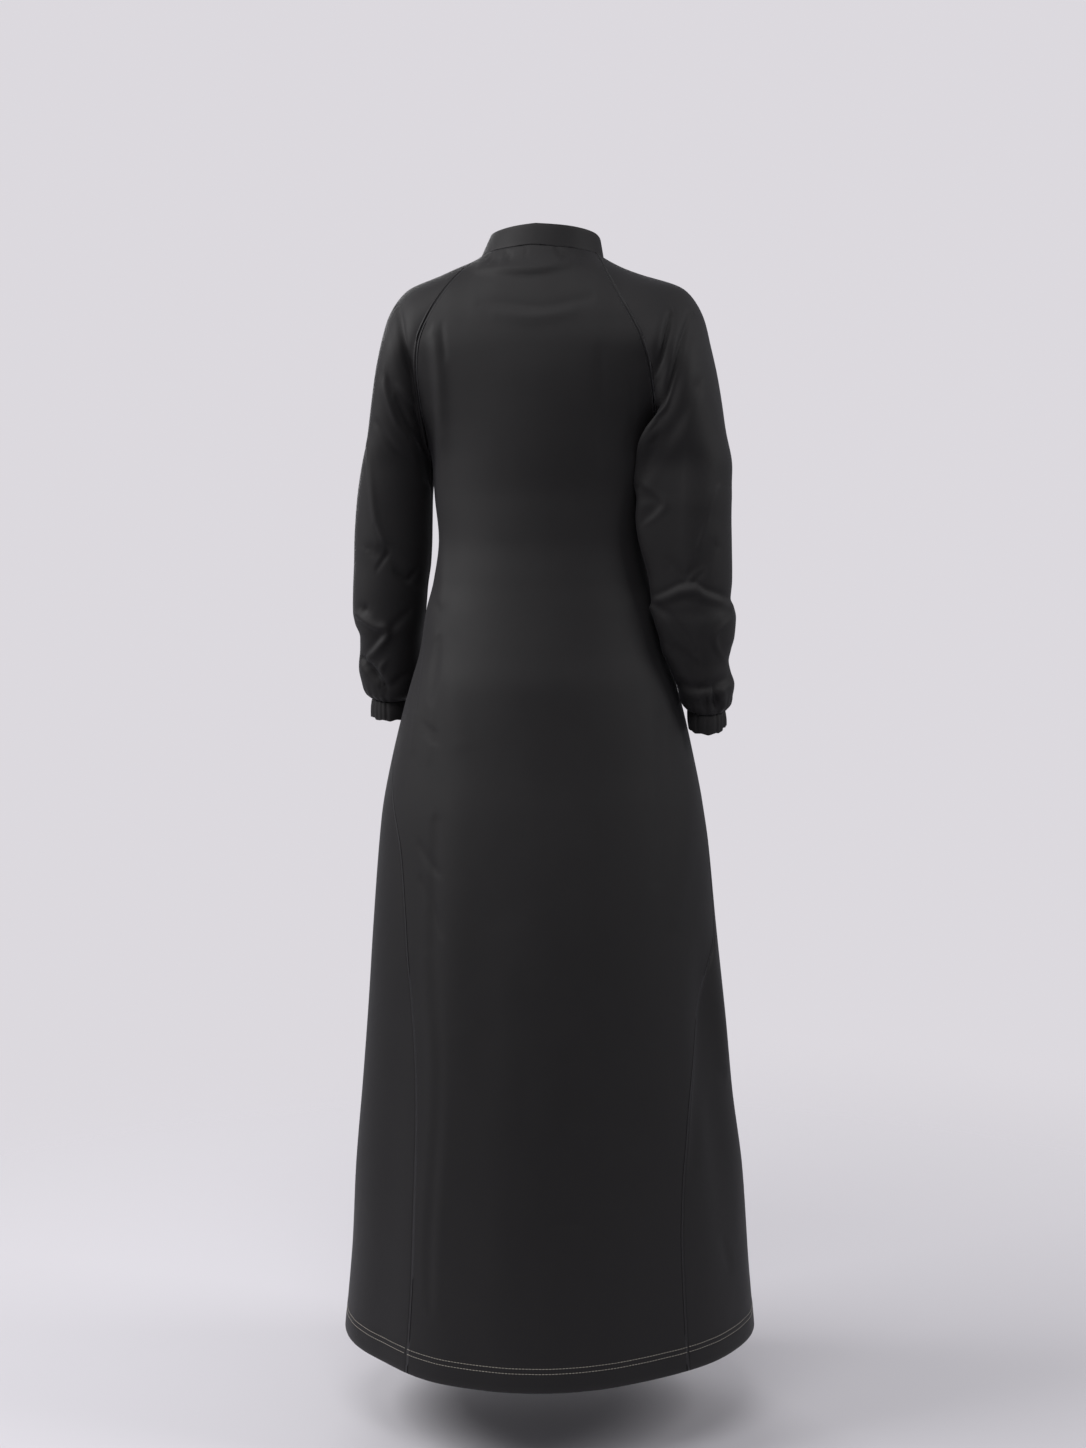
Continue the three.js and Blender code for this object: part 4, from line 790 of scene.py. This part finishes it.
def twill_group():
    """Slanting lines of a fine twill, with uneven yarns, from the cloth's flat sizes in metres."""
    tree, given, result = node_group(
        "twill",
        [("Cloth", "NodeSocketVector", None), ("Pitch mm", "NodeSocketFloat", 0.6),
         ("Unevenness", "NodeSocketFloat", 0.5)],
        ["Height"],
    )
    split = new_node(tree, "SeparateXYZ", {0: given["Cloth"]}).outputs
    slanted = maths(tree, "ADD", split["X"], maths(tree, "MULTIPLY", split["Y"], 0.5))
    turns = maths(tree, "DIVIDE", slanted, maths(tree, "MULTIPLY", given["Pitch mm"], MM))
    slub = noise(tree, given["Cloth"], scale=420, detail=3)
    turns = maths(tree, "ADD", turns, maths(tree, "MULTIPLY", slub, given["Unevenness"]))
    wave = maths(tree, "SINE", maths(tree, "MULTIPLY", turns, 2 * np.pi))
    put(tree, result, {"Height": maths(tree, "MULTIPLY_ADD", wave, 0.5, 0.5)})
    return tree


def handling_group():
    """Broad and small unevenness of a used cloth: shade, roughness and soft dimples. Its shade also takes
    the rubbing and the painted seam shade and highlight given by the mesh.
    """
    tree, given, result = node_group(
        "handling",
        [("Place", "NodeSocketVector", None), ("Wear and seam shading", "NodeSocketFloat", 0.0)],
        ["Shade", "Rough", "Dimples"],
    )
    broad, mid, fine = (
        noise(tree, new_node(tree, "Mapping", {"Vector": given["Place"], "Scale": stretch}).outputs[0],
              scale, detail)
        for scale, detail, stretch in ((3.5, 2, (1, 1, 0.5)), (26, 4, (1, 1, 0.6)), (150, 3, (1, 1, 1)))
    )
    shade = maths(tree, "MULTIPLY_ADD", broad, 0.5, maths(tree, "MULTIPLY", mid, 0.3))
    put(tree, result, {
        "Shade": maths(tree, "ADD", shade, maths(tree, "MULTIPLY", given["Wear and seam shading"], 0.35)),
        "Rough": maths(tree, "SUBTRACT", maths(tree, "MULTIPLY", mid, 0.16),
                       maths(tree, "MULTIPLY", given["Wear and seam shading"], 0.08)),
        "Dimples": maths(tree, "MULTIPLY_ADD", fine, 0.25, mid),
    })
    return tree


TWILL, HANDLING = twill_group(), handling_group()
# The cloth's dark and light ends; the twill, random tone, rubbing and the painted seam shade and highlight
# mix between them.
BLACK, WEAR_AND_HIGHLIGHT_BLACK = (0.0075, 0.0070, 0.0076), (0.021, 0.0195, 0.0205)


def new_material(name):
    material = bpy.data.materials.new(name)
    material.use_nodes = True
    return material, material.node_tree, material.node_tree.nodes["Principled BSDF"]


def cloth_material(name, roughness, dimples, light=WEAR_AND_HIGHLIGHT_BLACK, pitch=0.62, sheen=0.05, weave=0.05):
    """Black twill. The dimples and the weave are in millimetres of depth."""
    material, tree, shader = new_material(name)
    place = new_node(tree, "TexCoord").outputs["Object"]
    # The mesh's rubbed lightness, with painted shade in its seams and painted highlight beside them.
    worn = new_node(tree, "Attribute", attribute_name="worn").outputs["Fac"]
    handling = new_node(tree, "Group", node_tree=HANDLING)
    put(tree, handling, {"Place": place, "Wear and seam shading": worn})
    cloth = new_node(tree, "UVMap", uv_map="cloth").outputs[0]
    twill = new_node(tree, "Group", {"Cloth": cloth, "Pitch mm": pitch}, node_tree=TWILL)
    height, handled = twill.outputs["Height"], handling.outputs
    lines = maths(tree, "MULTIPLY_ADD", height, 0.22, maths(tree, "MULTIPLY", handled["Shade"], 0.9))
    dimpled = bumped(tree, handled["Dimples"], 0.6, dimples)
    put(tree, shader, {
        "Base Color": mixed(tree, lines, BLACK, light),
        "Roughness": maths(tree, "ADD", handled["Rough"], roughness),
        "Normal": bumped(tree, height, 0.5, weave, Normal=dimpled),
        "Specular IOR Level": 0.22,
        "Sheen Weight": sheen,
        "Sheen Roughness": 0.42,
        "Sheen Tint": (0.9, 0.9, 1.0, 1),
    })
    return material


def solid_material(name, dark, light, roughness, noise_scale, depth, metallic=0):
    """Thread, coil or lacquered metal: a base with fine unevenness, lighter in places."""
    material, tree, shader = new_material(name)
    uneven = noise(tree, new_node(tree, "TexCoord").outputs["Object"], noise_scale, 4)
    put(tree, shader, {
        "Base Color": mixed(tree, uneven, dark, light),
        "Roughness": maths(tree, "MULTIPLY_ADD", uneven, 0.2, roughness - 0.1),
        "Normal": bumped(tree, uneven, 0.4, depth),
        "Metallic": metallic,
    })
    return material


gabardine = cloth_material("gabardine", roughness=0.55, dimples=0.5)
cuff_gabardine = cloth_material("gathered_gabardine", roughness=0.60, dimples=0.6)
collar_gabardine = cloth_material("doubled_gabardine", roughness=0.58, dimples=0.35)
tape_weave = cloth_material("zip_tape", roughness=0.70, dimples=0.1, light=(0.012, 0.012, 0.013),
                            pitch=0.9, sheen=0.03, weave=0.08)
coil_nylon = solid_material("coil_nylon", (0.008, 0.008, 0.009), (0.02, 0.02, 0.021),
                            roughness=0.38, noise_scale=900, depth=0.02)
contrast_thread = solid_material("contrast_thread", (0.30, 0.275, 0.235), (0.48, 0.45, 0.39),
                                 roughness=0.65, noise_scale=1600, depth=0.06)
black_thread = solid_material("black_thread", (0.008, 0.008, 0.009), (0.025, 0.025, 0.027),
                              roughness=0.45, noise_scale=1600, depth=0.05)
dark_lacquer = solid_material("dark_lacquer", (0.02, 0.02, 0.022), (0.075, 0.075, 0.08),
                              roughness=0.34, noise_scale=320, depth=0.03, metallic=0.85)


# ---- Cloth pieces ----
def press(points, name, welded=0, row=UNDERARM_ROW):
    """Eases a panel at the underarm, and gives its points, normals and how far its folds stand out."""
    points = eased(points, row)
    normals = normals_of(points, welded)
    out = fold_out(points, normals, FOLDS[name])
    if welded:
        both = (out[:welded, 0] + out[:welded, -1]) / 2
        out[:welded, 0] = out[:welded, -1] = both
    return points, normals, out


def hem_shape(levels, out, distance_round):
    """Rounds the hem's edge, sinks its stitch rows and raises the turned-up cloth a little."""
    above = (levels - HEM_Z)[:, None]
    out = out + 0.5 * (1 - smooth(above, HEM_TURN_UP - 1, HEM_TURN_UP + 3)) * (above >= 0)
    for row in HEM_STITCH_ROWS:
        out = out - 0.45 * bell(above - row, 1.2)
    ripple = np.sin(distance_round / 7.3) + 0.7 * np.sin(distance_round / 11.9 + 1.3)
    out = out + 0.22 * ripple * bell(above - 27, 9)
    return out - 0.7 * bell(above, 1)


def make_panel(name, points):
    """A back or front: its edges roll into their seams and its hem is turned up."""
    points, normals, out = press(points, name)
    round_it = spans(points, 1)
    edge = np.minimum(round_it, round_it[:, -1:] - round_it)
    top = spans(points, 0)
    top = top[-1:] - top
    below_neck = np.where(BODY_LEVELS[:, None] >= 0, top, FAR)
    fade = smooth(edge, 0, 6)
    upward = smooth(BODY_LEVELS, SKIRT_SEAM["below"], SKIRT_SEAM["above"])
    firm = blend(SKIRT_SEAM["share"], 1, upward)[:, None]
    out = out * fade + seam_roll(edge) * firm + seam_roll(below_neck)
    out = hem_shape(BODY_LEVELS, out, round_it)
    points = lapped(points + normals * out[..., None], slice(None))
    above_hem = (BODY_LEVELS - HEM_Z)[:, None] + 0 * edge
    # Painted shade and highlight at the seams, and lighter at the hem's rubbed edge.
    worn = in_seam(edge) * firm + in_seam(below_neck) + bell(above_hem, 4)
    doubled = np.where(above_hem <= HEM_TURN_UP, 1.0, WALL / HEM_WALL)
    bm = grid_mesh(points, cloth_uv(points), worn, doubled)
    piece = new_object(f"{name}_panel", bm, gabardine)
    walled(piece, HEM_WALL)
    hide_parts(name)
    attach(piece, "garment")
    return points, normals


def wrist_pleats(arm, around, share):
    """How far the gathers at the wrist draw the cloth in."""
    degrees = np.degrees(around)
    total = np.zeros_like(degrees)
    for angle, width, depth in PLEATS[arm.name]:
        away = away_from(angle, degrees)
        total = total - depth * bell(away, width) + 0.35 * depth * bell(away, 2.6 * width)
    return total * share


def make_sleeve(arm):
    name = f"sleeve_{arm.name}"
    arm_levels = np.concatenate([
        arm.wrist_z + np.array([0, 0.8, 2.2, 4.5]),
        levels_between(arm.wrist_z + 8, UNDERARM_Z, SLEEVE_ROW_GAP),
    ])
    levels = np.concatenate([arm_levels, RAGLAN_STEPS])
    level, around = on_grid(levels, edged(COLUMNS["sleeve"]))
    points = sleeve_surface(arm, level, around)
    if arm.side > 0:
        points = points[:, ::-1]
    welded = len(arm_levels)
    points, normals, out = press(points, name, welded, welded - 1)
    round_it = spans(points, 1)
    edge = np.minimum(round_it, round_it[:, -1:] - round_it)
    on_raglan = level >= 0
    top = spans(points, 0)
    below_neck = np.where(on_raglan, top[-1:] - top, FAR)
    fade = np.where(on_raglan, smooth(edge, 0, 8), 1)
    above_wrist = np.where(on_raglan, FAR, level - arm.wrist_z)
    wrist = arm.sections(arm.wrist_z)
    centre_x = arm.side * (wrist.outer + wrist.inner) / 2
    angle = np.arctan2(points[..., 1] - wrist.y, -arm.side * (points[..., 0] - centre_x))
    out = out * fade
    out = out + wrist_pleats(arm, angle, bell(above_wrist, 17))
    out = out + 2.4 * bell(above_wrist - 10, 7)
    out = out + seam_roll(np.where(on_raglan, edge, edge * 1.6))
    out = out + seam_roll(below_neck) + 1.5 * seam_roll(above_wrist)
    points = lapped(points + normals * out[..., None], slice(welded, None))
    # Painted shade and highlight at the seams and the wrist seam, then lighter on the puff above the cuff.
    worn = in_seam(np.where(on_raglan, edge, FAR)) + in_seam(below_neck) + in_seam(above_wrist)
    worn = worn + bell(above_wrist - 9, 6) * 0.4
    bm = grid_mesh(points, cloth_uv(points), worn, None, welded)
    piece = new_object(f"{name}_panel", bm, gabardine)
    walled(piece, WALL)
    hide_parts(name)
    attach(piece, "garment")


def make_cuff(arm):
    wrist = arm.sections(arm.wrist_z)
    slope = np.tan(np.radians(wrist.tip))
    drop = np.array([1, 0.985, 0.95, 0.85, 0.7, 0.55, 0.4, 0.25, 0.12, 0.04, 0])[:, None]
    around = np.linspace(0, 2 * np.pi, COLUMNS["cuff"])[None, :]
    gather = wrist_pleats(arm, around + 0.10 * (drop - 0.5), blend(0.9, 1.0, drop))
    gather = gather + 0.8 * np.sin(np.pi * drop) - bell(drop, 0.05)
    across = -np.cos(around) * ((wrist.outer - wrist.inner) / 2 + gather) + CUFF_FLARE * drop
    along = np.sin(around) * (wrist.half + gather)
    lift = arm.cuff_lift * np.clip(-np.cos(around), 0, 1) ** 2 * drop
    edge_wave = 0.8 * np.sin(around * 9 + 0.6) * drop
    points = stacked(
        arm.side * ((wrist.outer + wrist.inner) / 2 + across),
        wrist.y + along,
        arm.wrist_z - 0.2 - (CUFF_HEIGHT + edge_wave - lift) * drop - slope * along,
    )
    if arm.side > 0:
        points = points[:, ::-1]
    worn = bell((1 - drop) * CUFF_HEIGHT, 3) + 0 * around
    bm = grid_mesh(points, cloth_uv(points), worn, None, len(drop))
    piece = new_object(f"cuff_{arm.name}_band", bm, cuff_gabardine)
    walled(piece, CUFF_WALL)
    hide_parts(f"cuff_{arm.name}")
    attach(piece, "garment")


def make_collar():
    """The band's section runs up the outer face, over a pressed line, round the fold and down inside."""
    edge = centre_angle(NECK.half, ZIP_OPENING)
    degrees = np.linspace(edge, -edge, COLUMNS["collar"])
    normals = normals_of(collar_at(*on_grid(np.linspace(0, 1, 9), degrees)))[4]
    bulge = 0.5 * np.sin(np.radians(degrees) * 5 + 0.8) * np.sin(np.radians(degrees) * 2)
    section = [(0, 0.7), (0.012, 0.1)]
    section += [(up, 0) for up in (0.04, 0.12, 0.25, 0.4, 0.55, 0.7, 0.83)]
    section += [(0.93, 0.25), (0.945, 0.25)]
    fold = COLLAR_WALL / 2
    for a in np.linspace(0, np.pi, 9):
        section.append((1 - (fold - fold * np.sin(a)) / COLLAR_HEIGHT, fold - fold * np.cos(a)))
    section += [(up, COLLAR_WALL) for up in (0.8, 0.5, 0.25, 0.05, 0)]
    rows = []
    for up, depth in section:
        along_edge = collar_at(np.full_like(degrees, up), degrees)
        rows.append(along_edge - normals * (depth - bulge * up)[:, None])
    rows.append(rows[0])
    points = np.array(rows)
    height = np.array([up for up, _ in section] + [0])[:, None] * COLLAR_HEIGHT + 0 * degrees
    worn = np.maximum(bell(COLLAR_HEIGHT - height, 3), 0.4 * bell(height, 3))
    bm = grid_mesh(points, cloth_uv(points), worn)
    bmesh.ops.remove_doubles(bm, verts=bm.verts, dist=1e-6)
    open_edges = [e for e in bm.edges if e.is_boundary]
    bmesh.ops.holes_fill(bm, edges=open_edges, sides=0)
    bmesh.ops.recalc_face_normals(bm, faces=bm.faces)
    piece = new_object("collar_band", bm, collar_gabardine)
    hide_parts("collar")
    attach(piece, "garment")


back_grid = back_surface(*on_grid(BODY_LEVELS, edged(COLUMNS["back"], 1, -1)))
panels = [make_panel("back", back_grid)]
for side, name in ((1, "front_left"), (-1, "front_right")):
    points = front_surface(side, *on_grid(BODY_LEVELS, edged(COLUMNS["front"])))
    points = points[:, ::-1] if side > 0 else points
    panels.append(make_panel(name, points))
for arm in (LEFT, RIGHT):
    make_sleeve(arm)
    make_cuff(arm)
make_collar()


# ---- Stitches ----
def along_line(line, normals, pitch, start, stop):
    """Places, directions and normals at even distances along a line of points."""
    travelled = spans(line[None], 1)[0]
    spots = np.arange(start + pitch / 2, travelled[-1] - stop - pitch / 2, pitch)
    place = np.stack([np.interp(spots, travelled, line[:, k]) for k in range(3)], axis=-1)
    normal = unit(np.stack([np.interp(spots, travelled, normals[:, k]) for k in range(3)], axis=-1))
    tangent = np.stack([np.interp(spots + 0.5, travelled, line[:, k]) for k in range(3)], axis=-1) - place
    return place, unit(tangent), normal


def joined_copies(name, template, places, material):
    """One mesh of a small shape repeated at (place, tangent, normal), its own x along the tangent."""
    bm = bmesh.new()
    shape = bpy.data.meshes.new(name)
    template.to_mesh(shape)
    template.free()
    for place, tangent, normal in places:
        side = np.cross(normal, tangent)
        normal = np.cross(tangent, side)
        turn = Matrix((
            (tangent[0], side[0], normal[0], place[0] * MM),
            (tangent[1], side[1], normal[1], place[1] * MM),
            (tangent[2], side[2], normal[2], place[2] * MM),
            (0, 0, 0, 1),
        ))
        shape.transform(turn)
        bm.from_mesh(shape)
        shape.transform(turn.inverted())
    bpy.data.meshes.remove(shape)
    return new_object(name, bm, material)


def stitch_shape(length, width, height):
    bm = bmesh.new()
    bmesh.ops.create_uvsphere(bm, u_segments=6, v_segments=6, radius=0.5 * MM)
    turn = Matrix.Rotation(np.pi / 2, 4, "Y")
    bmesh.ops.transform(bm, matrix=turn, verts=bm.verts)
    bmesh.ops.scale(bm, vec=(length, width, height), verts=bm.verts)
    for vert in bm.verts:
        vert.co.x *= 1.0 + 0.25 * (1 - abs(vert.co.x) / (0.5 * length * MM))
    return bm


def stitch_places(line, normals, stitch, start=1.0, stop=1.0):
    return list(zip(*along_line(line + normals * stitch.lift, normals, stitch.pitch, start, stop)))


hem_rows = [int(np.argmin(np.abs(BODY_LEVELS - (HEM_Z + height)))) for height in HEM_STITCH_ROWS]
hem_places = []
for points, normals in panels:
    for row in hem_rows:
        hem_places += stitch_places(points[row], normals[row], HEM_STITCH)
hem_stitches = joined_copies("hem_topstitch", stitch_shape(*HEM_STITCH.size), hem_places, contrast_thread)
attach(hem_stitches, "garment")


# ---- The zip ----
def zip_line():
    """The zip's middle line from its foot to the collar, with its across, along and outward ways."""
    levels = np.concatenate([levels_between(ZIP_END_Z, UNDERARM_Z, 4), RAGLAN_STEPS])
    ones = np.ones_like(levels)
    left, right = front_surface(1, levels, ones), front_surface(-1, levels, ones)
    ups = np.linspace(0.04, 0.95, 14)
    edge = centre_angle(NECK.half, ZIP_OPENING)
    left = np.concatenate([left, collar_at(ups, np.full_like(ups, edge))])
    right = np.concatenate([right, collar_at(ups, np.full_like(ups, -edge))])
    middle, across = (left + right) / 2, unit(left - right)
    for _ in range(6):
        middle[1:-1] += ((middle[:-2] + middle[2:]) / 2 - middle[1:-1]) * 0.5
    along = unit(np.gradient(middle, axis=0))
    outward = unit(np.cross(across, along))
    return middle, across, along, outward


middle, across, along, outward = zip_line()
travelled = spans(middle[None], 1)[0]
tape_shares = np.linspace(1, -1, 13)[None, :, None]
tape_points = middle[:, None] + across[:, None] * tape_shares * TAPE_HALF - outward[:, None] * TAPE_DEPTH
tape_points = tape_points - outward[:, None] * 0.9 * bell(np.abs(tape_shares) - 1, 0.1)
tape = new_object("zip_tapes", grid_mesh(tape_points[:, ::-1], cloth_uv(tape_points)), tape_weave)
walled(tape, TAPE_WALL)
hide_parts("zip")
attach(tape, "garment")

tooth = bmesh.new()
bmesh.ops.create_cube(tooth, size=MM)
bmesh.ops.scale(tooth, vec=TOOTH_SIZE, verts=tooth.verts)
bmesh.ops.bevel(
    tooth, geom=tooth.edges[:], offset=TOOTH_BEVEL * MM, affect="EDGES", segments=1, profile=0.5,
    material=-1)
tooth_places = []
for count, spot in enumerate(np.arange(1.0, travelled[-1] - 0.5, TEETH_PITCH / 2)):
    place, side_way, up_way, out_way = (
        np.array([np.interp(spot, travelled, values[:, k]) for k in range(3)])
        for values in (middle, across, along, outward)
    )
    side = 1 if count % 2 else -1
    place = place + unit(side_way) * side * 0.95 - unit(out_way) * 1.25
    tooth_places.append((place, unit(up_way), unit(out_way)))
teeth = joined_copies("zip_teeth", tooth, tooth_places, coil_nylon)
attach(teeth, "garment")

zip_stitch_places = []
for points, normals in panels[1:]:
    first, last = np.abs(points[UNDERARM_ROW, [0, -1], 0])
    at = BODY_LEVELS > ZIP_END_Z - 12, 4 if first < last else -5
    zip_stitch_places += stitch_places(points[at], normals[at], ZIP_STITCH, 1, 4)
zip_stitches = joined_copies("zip_topstitch", stitch_shape(*ZIP_STITCH.size), zip_stitch_places,
                             black_thread)
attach(zip_stitches, "garment")

for node in ("zip_slider", "zip_pull"):
    metal_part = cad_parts[node]
    if metal_part.material_slots:
        for slot in metal_part.material_slots:
            slot.material = dark_lacquer
    else:
        metal_part.data.materials.append(dark_lacquer)

# ---- Floor, light and camera ----
floor_mesh = bmesh.new()
bmesh.ops.create_circle(floor_mesh, cap_ends=True, radius=7, segments=128)
bmesh.ops.translate(floor_mesh, vec=(0, 0, FLOOR_Z * MM), verts=floor_mesh.verts)
floor_paint, tree, floor_shader = new_material("pale_floor")
split = new_node(tree, "SeparateXYZ", {0: new_node(tree, "TexCoord").outputs["Object"]}).outputs
squares = [maths(tree, "MULTIPLY", split[axis], split[axis]) for axis in "XY"]
reach = maths(tree, "SQRT", maths(tree, "ADD", *squares))
fade = new_node(tree, "MapRange", interpolation_type="SMOOTHSTEP")
put(tree, fade, {"Value": reach, "From Min": 0.5, "From Max": 2.2, "To Min": 1, "To Max": 0})
put(tree, floor_shader, {
    "Base Color": (0.66, 0.642, 0.68, 1), "Roughness": 0.9, "Specular IOR Level": 0.1,
    "Alpha": fade.outputs[0],
})
floor = new_object("floor", floor_mesh, floor_paint, smooth_shaded=False)

scene = bpy.context.scene
scene.view_settings.view_transform = "Standard"
world = bpy.data.worlds.new("studio")
scene.world = world
world.use_nodes = True
sky = world.node_tree
backdrop = sky.nodes["Background"]
backdrop.inputs["Color"].default_value = (0.716, 0.694, 0.733, 1)
ambient = new_node(sky, "Background", {"Color": (0.95, 0.95, 1.0, 1), "Strength": 0.25})
seen_directly = new_node(sky, "LightPath").outputs["Is Camera Ray"]
sky_mix = new_node(sky, "MixShader", {"Fac": seen_directly, 1: ambient.outputs[0], 2: backdrop.outputs[0]})
put(sky, sky.nodes["World Output"], {"Surface": sky_mix.outputs[0]})


def soft_light(name, place, target, size, power):
    lamp = bpy.data.lights.new(name, "AREA")
    lamp.shape = "RECTANGLE"
    lamp.size, lamp.size_y = size
    lamp.energy = power
    holder = bpy.data.objects.new(name, lamp)
    holder.location = place
    holder.rotation_mode = "QUATERNION"
    holder.rotation_quaternion = (Vector(target) - Vector(place)).to_track_quat("-Z", "Y")
    scene.collection.objects.link(holder)


soft_light("left_softbox", (2.3, 0.45, 1.0), (0, 0, -0.5), (1.5, 1.6), 68)
soft_light("right_softbox", (-2.7, 0.6, 1.0), (0, 0, -0.5), (0.9, 1.6), 34)
soft_light("overhead", (0.4, 1.7, 2.3), (0, 0, -0.3), (2.0, 1.0), 36)
soft_light("front_fill", (0.8, -3.0, 0.6), (0, 0, -0.7), (2.2, 2.2), 43)

lens = bpy.data.cameras.new("camera")
lens.lens = 50
lens.sensor_width = 36
camera = bpy.data.objects.new("camera", lens)
camera.location = (0.004, 2.645, -0.39)
camera.rotation_euler = (np.radians(90 - 4.8), 0, np.pi)
scene.collection.objects.link(camera)
scene.camera = camera
